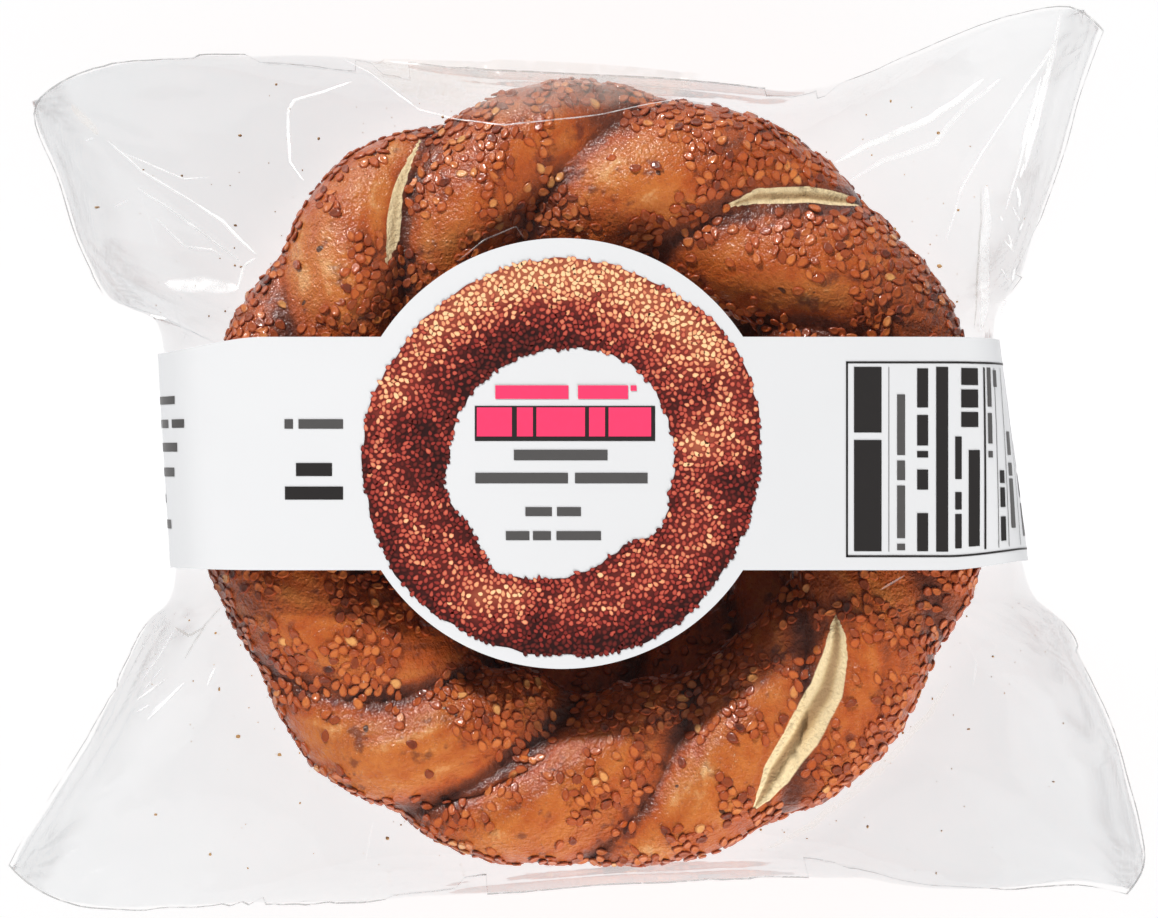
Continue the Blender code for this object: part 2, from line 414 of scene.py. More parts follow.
@dataclass(frozen=True)
class FilmFinish:
    """Thin clear film: light passes with a slight loss, and the folds and the seals catch a sheen."""

    dull: Colour = (0.904, 0.912, 0.917)
    bright: Colour = (0.974, 0.978, 0.980)
    haze_colour: Colour = (0.90, 0.91, 0.93)
    haze: float = 0.002
    seal_haze: float = 0.05
    line_haze: float = 0.16
    gloss: float = 0.014
    edge_gloss: float = 0.60
    edge_power: float = 3.5
    roughness: float = 0.06

    def material(self) -> bpy.types.Material:
        """Builds the film."""
        make = Recipe("clear_film")
        seal, lines, clarity = (make.attribute(n) for n in ("seal", "seal_lines", "clarity"))
        crimp = make.math("MULTIPLY", make.noise(0.0012, 1, (3.0, 0.4, 1.0)), seal)
        relief = make.bump(make.noise(0.006, 1), 0.00010)
        relief = make.bump(crimp, 0.0002, relief)
        patchy = make.weighted(-0.25, [(clarity, 1.0), (make.noise(0.011, 2), 0.50)])
        clear = make.shader("BsdfTransparent", {"Color": make.blend(patchy, self.dull, self.bright)})
        cloudy = make.shader("BsdfDiffuse", {"Color": (*self.haze_colour, 1.0), "Normal": relief})
        shine = make.shader("BsdfGlossy", {"Color": (1, 1, 1, 1), "Roughness": self.roughness, "Normal": relief})
        haze = make.weighted(self.haze, [(seal, self.seal_haze), (lines, self.line_haze)])
        body = make.shader("MixShader", {0: haze, 1: clear, 2: cloudy})
        facing = make.add("ShaderNodeLayerWeight", {"Blend": 0.5, "Normal": relief}).outputs["Facing"]
        edge = make.math("POWER", facing, self.edge_power)
        share = make.weighted(self.gloss, [(edge, self.edge_gloss)])
        return make.finish(make.shader("MixShader", {0: share, 1: body, 2: shine}))


@dataclass(frozen=True)
class FoldFinish:
    """A strip laid over creased film: solid along its middle and clear at its borders, its colour a painted
    highlight, painted shade, or a hazy tint that is partly painted reflection.
    """

    name: str
    colour: Colour
    share: float
    gloss: float = 0.20

    def material(self) -> bpy.types.Material:
        """Builds the strip's painted colour over the creased film."""
        make = Recipe(self.name)
        clear = make.shader("BsdfTransparent", {"Color": (1, 1, 1, 1)})
        cloudy = make.shader("BsdfDiffuse", {"Color": (*self.colour, 1.0)})
        shine = make.shader("BsdfGlossy", {"Color": (1, 1, 1, 1), "Roughness": 0.25})
        body = make.shader("MixShader", {0: self.gloss, 1: cloudy, 2: shine})
        broken = make.band(make.noise(0.0022, 3), 0.30, 0.55, 0.45, 1.0)
        share = make.math("MULTIPLY", make.attribute("core"), make.math("MULTIPLY", broken, self.share))
        return make.finish(make.shader("MixShader", {0: share, 1: clear, 2: body}))


class FoldKind(Enum):
    """What a fold of the film looks like: painted highlights (GLARE, FAINT, GHOST), hazy film whose warm tint is
    partly a painted reflection of the bread (HAZE), painted shade (SHADE) and a painted dark outline (RIM).
    """

    # White strips of painted highlight, from strong to faint.
    GLARE = FoldFinish("fold_glare", (0.98, 0.98, 0.98), 1.0)
    FAINT = FoldFinish("fold_faint", (0.96, 0.96, 0.97), 0.50)
    GHOST = FoldFinish("fold_ghost", (0.96, 0.96, 0.97), 0.16)
    # Hazy doubled film; its warm tint is partly a painted reflection of the bread beside it.
    HAZE = FoldFinish("fold_haze", (0.66, 0.60, 0.54), 0.24, 0.05)
    SHADE = FoldFinish("fold_shade", (0.34, 0.31, 0.26), 0.32, 0.05)
    # A painted dark line where the film is seen edge on.
    RIM = FoldFinish("fold_rim", (0.30, 0.30, 0.30), 0.60, 0.05)


@dataclass(frozen=True)
class SleeveFinish:
    """The band's white satin print ground."""

    white: Colour = (0.682, 0.690, 0.710)
    # How far the painted shade at the band's right darkens the white.
    shade_factor: float = 0.93

    def material(self) -> bpy.types.Material:
        """Builds the white ground with painted shade: a little darker towards its right, with a faint random mottle.
        """
        make = Recipe("white_sleeve")
        along = make.add("ShaderNodeSeparateXYZ", {0: make.place}).outputs["X"]
        # Painted shade: the white darkens towards the band's right, where less light falls on it; the noise adds a
        # faint random mottle.
        right_shade = make.band(along, -0.06, 0.06, 0.0, 0.8)
        shade_and_mottle = make.math("ADD", right_shade, make.band(make.noise(0.030, 2), 0.3, 0.7, 0.0, 0.2))
        return make.finish(make.shader("BsdfPrincipled", {
            "Base Color": make.blend(shade_and_mottle, self.white, tuple(self.shade_factor * c for c in self.white)),
            "Roughness": 0.42,
            "Normal": make.bump(make.noise(0.012, 2), 0.00018),
        }))


@dataclass(frozen=True)
class InkFinish:
    """A plain ink on the sleeve."""

    name: str
    colour: Colour
    roughness: float = 0.40

    def material(self) -> bpy.types.Material:
        """Builds the ink, slightly uneven as print is."""
        make = Recipe(self.name)
        uneven = make.band(make.noise(0.0012, 2), 0.3, 0.7, 0.0, 0.25)
        colour = make.blend(uneven, self.colour, tuple(1.15 * c for c in self.colour))
        return make.finish(make.shader("BsdfPrincipled", {"Base Color": colour, "Roughness": self.roughness}))


class Ink(Enum):
    """The inks on the sleeve."""

    BLACK = InkFinish("black_ink", (0.020, 0.018, 0.018))
    GREY = InkFinish("grey_ink", (0.075, 0.072, 0.072))
    PINK = InkFinish("pink_ink", (0.810, 0.045, 0.135))


def place_piece(name: str, mesh: bpy.types.Mesh, material: bpy.types.Material) -> bpy.types.Object:
    """Dresses a mesh and puts it into the scene as a smooth piece that rides with the pack.

    Args:
        name: the piece's name.
        mesh: its mesh.
        material: the finish.

    Returns:
        The new object.
    """
    mesh.shade_smooth()
    mesh.materials.clear()
    mesh.materials.append(material)
    piece = bpy.data.objects.new(name, mesh)
    bpy.context.scene.collection.objects.link(piece)
    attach(piece, BODY)
    return piece


def mesh_piece(
    name: str, vertices: np.ndarray, faces: list | np.ndarray, material: bpy.types.Material
) -> bpy.types.Object:
    """Makes a piece from its points and faces.

    Args:
        name: the piece's name.
        vertices: points, one row each.
        faces: corner numbers of each face.
        material: the finish.

    Returns:
        The new object.
    """
    mesh = bpy.data.meshes.new(name)
    mesh.from_pydata(np.asarray(vertices).tolist(), [], [tuple(f) for f in np.asarray(faces).tolist()])
    mesh.validate()
    return place_piece(name, mesh, material)


def paint(piece: bpy.types.Object, name: str, values: np.ndarray) -> None:
    """Stores one value for each point of a piece, for its material to read.

    Args:
        piece: the mesh object.
        name: the value's name.
        values: one number for each vertex.
    """
    layer = piece.data.attributes.new(name, "FLOAT", "POINT")
    layer.data.foreach_set("value", np.ascontiguousarray(values, np.float32).ravel())


def grid_faces(rows: int, columns: int, close_rows: bool = True, close_columns: bool = True) -> np.ndarray:
    """Numbers the quads of a grid of points.

    Args:
        rows: points along the first axis.
        columns: points along the second.
        close_rows: whether the last row joins the first.
        close_columns: whether the last column joins the first.

    Returns:
        Four corner numbers for each quad.
    """
    row = np.arange(rows if close_rows else rows - 1)[:, None]
    column = np.arange(columns if close_columns else columns - 1)[None, :]
    next_row, next_column = (row + 1) % rows, (column + 1) % columns
    corners = (row * columns + column, next_row * columns + column,
               next_row * columns + next_column, row * columns + next_column)
    return np.stack([np.broadcast_to(c, np.broadcast(row, column).shape).ravel() for c in corners], axis=1)


def open_grid(rows: int, columns: int, first: int) -> list[list[int]]:
    """Numbers the quads of a grid with free borders, whose first point has a given number."""
    return (grid_faces(rows, columns, False, False) + first).tolist()


@dataclass(frozen=True)
class Split:
    """A pale opening that the oven tore in the crust, along a line of (x, y, half width) seen from above.

    The depth is that of an opening FULL_HALF to each side. The heart is how dark the middle is: partly the
    toasted crumb's own colour and partly painted shade in the opening. One that isn't torn is only a crevice
    between two folds of dough.
    """

    FULL_HALF: ClassVar[float] = 0.003
    THINNEST: ClassVar[float] = 1e-5

    line: Line
    depth: float
    heart: float
    torn: bool = True

    def reach(self, x: np.ndarray, y: np.ndarray) -> tuple[np.ndarray, np.ndarray]:
        """Measures how far places lie across the opening.

        Args:
            x: the places.
            y: the same.

        Returns:
            The distance across as a share of the half width, and the half width there.
        """
        share, half = np.full(x.shape, np.inf), np.zeros(x.shape)
        for (run, away, _), start, end in zip(segments(self.line, x, y), self.line, self.line[1:]):
            wide = mix(start[2], end[2], run)
            across = away / np.maximum(wide, self.THINNEST)
            half = np.where(across < share, wide, half)
            share = np.minimum(across, share)
        return share, half


@dataclass(frozen=True)
class BarePatch:
    """A patch of crust, seen from above, that few seeds stuck to, and how golden it is: partly its own colour and
    partly a painted highlight.
    """

    x: float
    y: float
    reach: float
    strength: float = 1.0
    gold: float = 0.5

    @classmethod
    def table(cls, *rows: tuple[float, ...]) -> tuple["BarePatch", ...]:
        """Reads patches from rows of x, y and reach in tenths of a millimetre, the strength and the gold."""
        return tuple(cls(*(n / TENTHS_IN_METRE for n in row[:3]), *row[3:]) for row in rows)


@dataclass
class RopeRing:
    """One bread ring: a rope of two strands, closed on itself.

    Along the ring the strands pass over the top one after another. The count of strands that have gone by is
    whole at each groove, and it falls by one from the ring's outer side over the top to its inner side. Round
    the angle sag_at the ring lies lower by its sag, and the share slim of its height is pressed out of it. The
    mesh is finer between the two angles finer_at, which take up finer_share of its steps.
    """

    name: str
    height: float
    grooves: tuple[float, ...]
    swell: tuple[float, ...]
    seed: int
    shift: tuple[float, float] = (0.0, 0.0)
    splits: tuple[Split, ...] = ()
    patches: tuple[BarePatch, ...] = ()
    sag: float = 0.0
    sag_at: float = 290.0
    slim: float = 0.0
    mean_radius: float = 0.0570
    half_width: float = 0.0232
    half_height: float = 0.0134
    flat_base: float = 0.0118
    strand_offset: float = 0.27
    side_relief: float = 0.42
    groove_lean: float = 0.55
    seed_clearance: float = 0.0011
    finer_at: tuple[float, float] = (290.0, 342.0)
    finer_share: float = 0.27
    steps_along: int = 780
    steps_around: int = 124
    squareness: float = 0.92
    strand_skew: float = 0.88
    inner_drop: float = 0.20
    wave_depth: float = 0.0006
    fine_depth: float = 0.00020
    streak_depth: float = 0.00012
    lip_height: float = 0.00025
    base_softness: float = 0.0015
    grain: Grain = field(init=False)

    def __post_init__(self) -> None:
        """Prepares the ring's own unevenness."""
        self.grain = Grain(self.seed)

    def strand_count(self, along: np.ndarray, around: np.ndarray) -> np.ndarray:
        """Counts the strands that have gone by.

        Args:
            along: angle round the ring.
            around: angle round the rope, 0 on the ring's outer side, 90 on top, from -90 to 270.

        Returns:
            The count, whole at each groove.
        """
        first = self.grooves[0]
        knots = np.array([*self.grooves, first + 360.0])
        wrapped = (along - first) % 360 + first
        turn = (around - 90) / 180
        lean = turn + self.groove_lean * np.sin(2 * np.pi * turn) / (2 * np.pi)
        return np.interp(wrapped, knots, np.arange(len(knots))) - lean

    def per_strand(self, values: tuple[float, ...], count: np.ndarray) -> np.ndarray:
        """Gives each place the value of the strand that it lies on."""
        return np.array(values)[np.floor(count).astype(int) % len(self.grooves)]

    def split_shares(self, point: np.ndarray) -> tuple[np.ndarray, np.ndarray, np.ndarray, np.ndarray]:
        """Finds where the crust is torn open.

        Args:
            point: the places.

        Returns:
            How open the crust is, how dark its crumb is towards the middle (partly painted shade), how far the
            surface sinks, and where no seed fits.
        """
        x, y = point[..., 0], point[..., 1]
        open_share, heart, sink, near = (np.zeros(x.shape) for _ in range(4))
        waver = 0.08 * self.grain.layers(point, 0.0070, 2)
        for split in self.splits:
            across, half = split.reach(x, y)
            across = across + waver * smooth_step(half, 0.0, 0.002)
            share = smooth_step(across, 1.20, 0.80) * split.torn
            deep = smooth_step(across, 0.72, 0.18) if split.torn else smooth_step(across, 1.2, 0.1)
            open_share = np.maximum(open_share, share)
            near = np.maximum(near, ((across - 1) * half < self.seed_clearance) * (half > 0.0002) * split.torn)
            # Darker towards the middle of the opening: partly the crumb's colour, partly painted shade.
            heart = np.maximum(heart, np.clip(split.heart * smooth_step(across, 0.62, 0.15) * share, 0, 1))
            lip = np.exp(-(((across - 1.25) / 0.22) ** 2))
            sink = np.maximum(sink, (0.30 * share + 0.70 * deep) * split.depth * half / split.FULL_HALF)
            sink = sink - lip * self.lip_height * smooth_step(half, 0.0, 0.002)
        return open_share, heart, sink, near

    def surface(self, along: np.ndarray, around: np.ndarray) -> dict[str, np.ndarray]:
        """Works out the crust.

        Args:
            along: angle round the ring.
            around: angle round the rope, from -90 to 270.

        Returns:
            "point" for the places, "gold", "valley", "crumb", "heart" and "streak" for the finish, and "bare" and
            "near_split" for the seeds.
        """
        count = self.strand_count(along, around)
        on_strand = count - np.floor(count)
        lean = np.pi * (on_strand**self.strand_skew - 0.5)
        offset = self.strand_offset
        thickness = offset * np.cos(lean) + np.sqrt((1 - offset) ** 2 - (offset * np.sin(lean)) ** 2)
        bell = np.sin(np.pi * on_strand)
        cos, sin = cos_sin(around)
        shown = smooth_step(sin, -0.9, -0.2)
        swell = self.per_strand(self.swell, count) * bell**1.5 * shown
        width = self.half_width * (1 - self.side_relief * (1 - thickness)) + swell
        height = self.half_height * thickness + 0.5 * swell
        out = width * np.sign(cos) * np.abs(cos) ** self.squareness
        pressed = 1 - self.slim * self.low_side(along)
        up = height * np.sign(sin) * np.abs(sin) ** self.squareness * pressed
        up = up * (1 - self.inner_drop * np.clip(-cos, 0, 1) ** 1.3 * (sin > 0))
        rough = self.raw_place(along, out, up)
        topside = smooth_step(sin, 0.15, 0.6)
        open_share, heart, sink, near = (part * topside for part in self.split_shares(rough))
        wave = self.grain.layers(rough, 0.013, 2)
        fine = self.grain.layers(rough + 0.5, 0.0036, 2)
        lanes = np.stack([count * 11, along * 0.07 + 0 * around, around * 0.012], -1)
        streak = self.grain.layers(lanes + 9.0, 1.0, 3)
        push = self.wave_depth * wave + self.fine_depth * fine + self.streak_depth * streak * shown - sink
        out, up = out + push * cos, up + push * sin
        floor, soft = -self.flat_base * pressed + self.fine_depth * fine, self.base_softness
        up = np.maximum(np.where(up < floor + soft, floor + soft * np.exp((up - floor) / soft - 1), up), floor)
        point = self.raw_place(along, out, up)
        bare, gold = self.bareness(point, topside)
        return {
            "point": point,
            "bare": bare,
            "gold": gold,
            # Painted shade: 1 in the grooves between strands, 0 on their crowns.
            "valley": smooth_step(bell, 0.60, 0.0),
            "crumb": open_share,
            "heart": heart,
            "streak": streak,
            "near_split": near,
        }

    def bareness(self, point: np.ndarray, topside: np.ndarray) -> tuple[np.ndarray, np.ndarray]:
        """Works out how bare of seeds and how golden the crust is.

        Args:
            point: the places.
            topside: 1 where the crust faces up.

        Returns:
            The bareness from 0 to 1, and the gold, which may pass 1.
        """
        bare, gold = np.zeros(point.shape[:-1]), np.zeros(point.shape[:-1])
        for patch in self.patches:
            away = np.hypot(point[..., 0] - patch.x, point[..., 1] - patch.y) / patch.reach
            bare = np.maximum(bare, patch.strength * np.exp(-(away**2) * 0.7))
            gold = np.maximum(gold, patch.gold * np.exp(-(away**2) * 0.8))
        mottle = self.grain.layers(point + 3.1, 0.0095, 3)
        return smooth_step(bare + 0.30 * mottle, 0.27, 0.55) * topside, gold * topside

    def raw_place(self, along: np.ndarray, out: np.ndarray, up: np.ndarray) -> np.ndarray:
        """Puts an offset from the rope's centre line into space."""
        radius = self.mean_radius + out
        cos, sin = cos_sin(along)
        x, y = self.shift[0] + radius * cos, self.shift[1] + radius * sin
        return np.stack([x, y, self.height + up - self.sag * self.low_side(along)], axis=-1)

    def low_side(self, along: np.ndarray) -> np.ndarray:
        """Rises to 1 on the side that the ring sags to."""
        return 0.5 + 0.5 * np.cos(np.radians(along - self.sag_at))

    def build(self, crust: bpy.types.Material) -> bpy.types.Object:
        """Makes the ring's mesh.

        Args:
            crust: the finish.

        Returns:
            The ring.
        """
        start, end = self.finer_at
        along = np.interp(np.arange(self.steps_along) / self.steps_along,
                          (0, self.finer_share, 1), (start, end, start + 360))
        around = np.interp(np.arange(self.steps_around) / self.steps_around, (0, 0.14, 0.86, 1), (-90, 0, 180, 270))
        grid = self.surface(*np.meshgrid(along, around, indexing="ij"))
        faces = grid_faces(self.steps_along, self.steps_around)
        ring = mesh_piece(self.name, grid["point"].reshape(-1, 3), faces, crust)
        for name in ("gold", "valley", "crumb", "heart", "streak"):
            paint(ring, name, grid[name])
        return ring

    def frames(self, along: np.ndarray, around: np.ndarray) -> tuple[np.ndarray, np.ndarray, np.ndarray]:
        """Finds the crust's place, outward direction and direction along the ring.

        Args:
            along: angle round the ring.
            around: angle round the rope.

        Returns:
            Places, normals and tangents.
        """
        step_along, step_around = 0.35, 1.2
        ahead = self.surface(along + step_along, around)["point"] - self.surface(along - step_along, around)["point"]
        over = self.surface(along, around + step_around)["point"] - self.surface(along, around - step_around)["point"]
        normal = unit(np.cross(ahead, over))
        (turn_cos, turn_sin), (cos, sin) = cos_sin(along), cos_sin(around)
        outward = np.stack([turn_cos * cos, turn_sin * cos, sin], -1)
        normal *= np.sign(np.sum(normal * outward, -1))[:, None]
        return self.surface(along, around)["point"], normal, unit(ahead)


@dataclass(frozen=True)
class SeedShape:
    """A sesame seed: a flat teardrop with a raised rim and a shallow dent."""

    length: float = 0.0027
    width: float = 0.0019
    thickness: float = 0.0008
    belly: float = 0.58
    corners: int = 9
    detailed: bool = True

    def rings(self) -> list[tuple[float, float, float]]:
        """Lists the outline's copies from the top's middle to the underside, as (size, height, rim)."""
        if self.detailed:
            return [(0.50, 0.38, 0.0), (0.82, 0.50, 0.9), (1.0, 0.0, 1.0)]
        return [(0.66, 0.46, 0.4), (1.0, 0.0, 1.0)]

    def mesh(self) -> tuple[np.ndarray, np.ndarray, np.ndarray]:
        """Builds one seed with its long side along X.

        Returns:
            Points, triangles, and each point's share of the rim.
        """
        turn = np.arange(self.corners) * 2 * np.pi / self.corners
        outline = np.stack([np.cos(turn) * self.length / 2,
                            np.sin(turn) * np.abs(np.sin(turn / 2)) ** 0.5 * self.width * self.belly], -1)
        points, rim = [(0.0, 0.0, 0.30 * self.thickness)], [0.1]
        for size, height, share in self.rings():
            points += [(x * size, y * size, height * self.thickness) for x, y in outline]
            rim += [share] * self.corners
        points.append((0.0, 0.0, -0.5 * self.thickness))
        rim.append(0.3)
        n, last = self.corners, len(points) - 1
        faces = [(0, 1 + k, 1 + (k + 1) % n) for k in range(n)]
        for ring in range(len(self.rings()) - 1):
            for k in range(n):
                a, b = 1 + ring * n + k, 1 + ring * n + (k + 1) % n
                faces += [(a, a + n, b + n), (a, b + n, b)]
        base = 1 + (len(self.rings()) - 1) * n
        faces += [(last, base + (k + 1) % n, base + k) for k in range(n)]
        return np.array(points), np.array(faces), np.array(rim)


@dataclass
class SeedCoat:
    """The sesame seeds that stick to some rings, as one joined mesh."""

    name: str
    rings: tuple[RopeRing, ...]
    count: int
    shape: SeedShape
    seed: int
    hidden: bool | None = None
    spacing: float = 0.00150
    tries_for_each: int = 16
    under_share: float = 0.40
    bare_loss: float = 0.985
    gap_share: float = 0.012
    tilt: float = 0.156
    size_spread: float = 0.09
    sunk: float = 0.00005
    heap: float = 0.00026
    tone: tuple[float, float] = (0.56, 0.20)
    burnt_share: float = 0.012
    burnt_tone: float = 0.12

    def scatter(self, ring: RopeRing, wanted: int, dice: np.random.Generator) -> tuple[np.ndarray, np.ndarray]:
        """Picks places for the seeds of one ring, in clumps and sparse on the bare patches.

        Args:
            ring: the ring to cover.
            wanted: how many seeds.
            dice: the random numbers.

        Returns:
            The angles along and around of each seed.
        """
        tries = wanted * self.tries_for_each
        along, around = dice.uniform(0, 360, tries), dice.uniform(-90, 270, tries)
        found = ring.surface(along, around)
        cos, sin = cos_sin(around)
        stretch = (ring.mean_radius + ring.half_width * cos) / (ring.mean_radius + ring.half_width)
        stretch = stretch * np.hypot(ring.half_width * sin, ring.half_height * cos) / ring.half_width
        under = smooth_step(sin, -0.1, -0.8)
        clump = smooth_step(ring.grain.layers(found["point"] + 7.7, 0.0060, 2), -0.60, 0.26)
        density = (1 - self.bare_loss * found["bare"]) * (1 - found["near_split"])
        density = density * (1 - under * (1 - self.under_share))
        kept = dice.uniform(0, 1, tries) < density * stretch * (self.gap_share + (1 - self.gap_share) * clump)
        if self.hidden is not None:
            kept &= self.covered(found["point"], sin) == self.hidden
        points, along, around = found["point"][kept], along[kept], around[kept]
        cells: dict[tuple[int, int, int], list[np.ndarray]] = {}
        chosen = []
        for number, point in enumerate(points):
            cell = tuple(np.floor(point / self.spacing).astype(int))
            near = (q for step in itertools.product((-1, 0, 1), repeat=3)
                    for q in cells.get(tuple(np.add(cell, step)), ()))
            if all(np.sum((point - q) ** 2) > self.spacing**2 for q in near):
                cells.setdefault(cell, []).append(point)
                chosen.append(number)
                if len(chosen) == wanted:
                    break
        LOG.info("%s: %d seeds on %s", self.name, len(chosen), ring.name)
        return along[chosen], around[chosen]

    @staticmethod
    def covered(point: np.ndarray, sin: np.ndarray) -> np.ndarray:
        """Tells which places lie under the ring's shoulder, under the band or under its disc."""
        sleeve, margin = PrintedSleeve, 0.002
        x, y = point[:, 0] - sleeve.centre_x, point[:, 1] - sleeve.centre_y
        under_disc = np.hypot(x, y) < sleeve.disc_radius - margin
        return (sin < -0.35) | (np.abs(y) < sleeve.half_width - margin) | under_disc

    def build(self, finish: bpy.types.Material) -> bpy.types.Object:
        """Makes the joined mesh, with each seed turned, tilted and sized a little differently.

        Args:
            finish: the seeds' material.

        Returns:
            The coat of seeds.
        """
        dice = np.random.default_rng(self.seed)
        frames = []
        for ring in self.rings:
            along, around = self.scatter(ring, self.count // len(self.rings), dice)
            frames.append(ring.frames(along, around))
        place, normal, tangent = (np.concatenate(part) for part in zip(*frames))
        count = len(place)
        body, faces, rim = self.shape.mesh()
        up = unit(normal + dice.normal(0, self.tilt, (count, 3)))
        turn = dice.uniform(0, 2 * np.pi, count)[:, None]
        side = unit(np.cross(up, tangent))
        axis = np.cross(side, up) * np.cos(turn) + side * np.sin(turn)
        size = np.clip(dice.normal(1.0, self.size_spread, (count, 3)), 0.75, 1.25)
        centre = place + normal * (self.heap * dice.uniform(0, 1, (count, 1)) - self.sunk)
        basis = np.stack([axis, np.cross(up, axis), up], axis=1) * size[:, :, None]
        points = np.einsum("vk,nkj->nvj", body, basis) + centre[:, None, :]
        numbers = faces[None] + (np.arange(count) * len(body))[:, None, None]
        coat = mesh_piece(self.name, points.reshape(-1, 3), numbers.reshape(-1, 3), finish)
        tone = np.clip(dice.normal(*self.tone, count), 0.02, 1.0)
        tone[dice.uniform(0, 1, count) < self.burnt_share] = self.burnt_tone
        paint(coat, "tone", np.repeat(tone, len(body)))
        paint(coat, "rim", np.tile(rim, count))
        return coat


@dataclass(frozen=True)
class Crease:
    """A fold that stands up in the film along a line, or a step in it."""

    line: Line
    height: float
    width: float
    step: bool = False

    def lift(self, x: np.ndarray, y: np.ndarray) -> np.ndarray:
        """Works out how far the film stands up.

        Args:
            x: the film's places.
            y: the same.

        Returns:
            The lift at each place.
        """
        nearest, signed, run = np.full(x.shape, np.inf), np.zeros(x.shape), np.zeros(x.shape)
        total = len(self.line) - 1
        for k, (share, distance, side) in enumerate(segments(self.line, x, y)):
            closer = distance < nearest
            nearest = np.where(closer, distance, nearest)
            signed = np.where(closer, side, signed)
            run = np.where(closer, (k + share) / total, run)
        fade = np.sin(np.pi * np.clip(run, 0.02, 0.98)) ** 0.5
        if self.step:
            rise = smooth_step(signed, -self.width, self.width) * smooth_step(nearest, 10 * self.width, 0.0)
            return self.height * rise * fade
        return self.height * np.exp(-((nearest / self.width) ** 2)) * fade


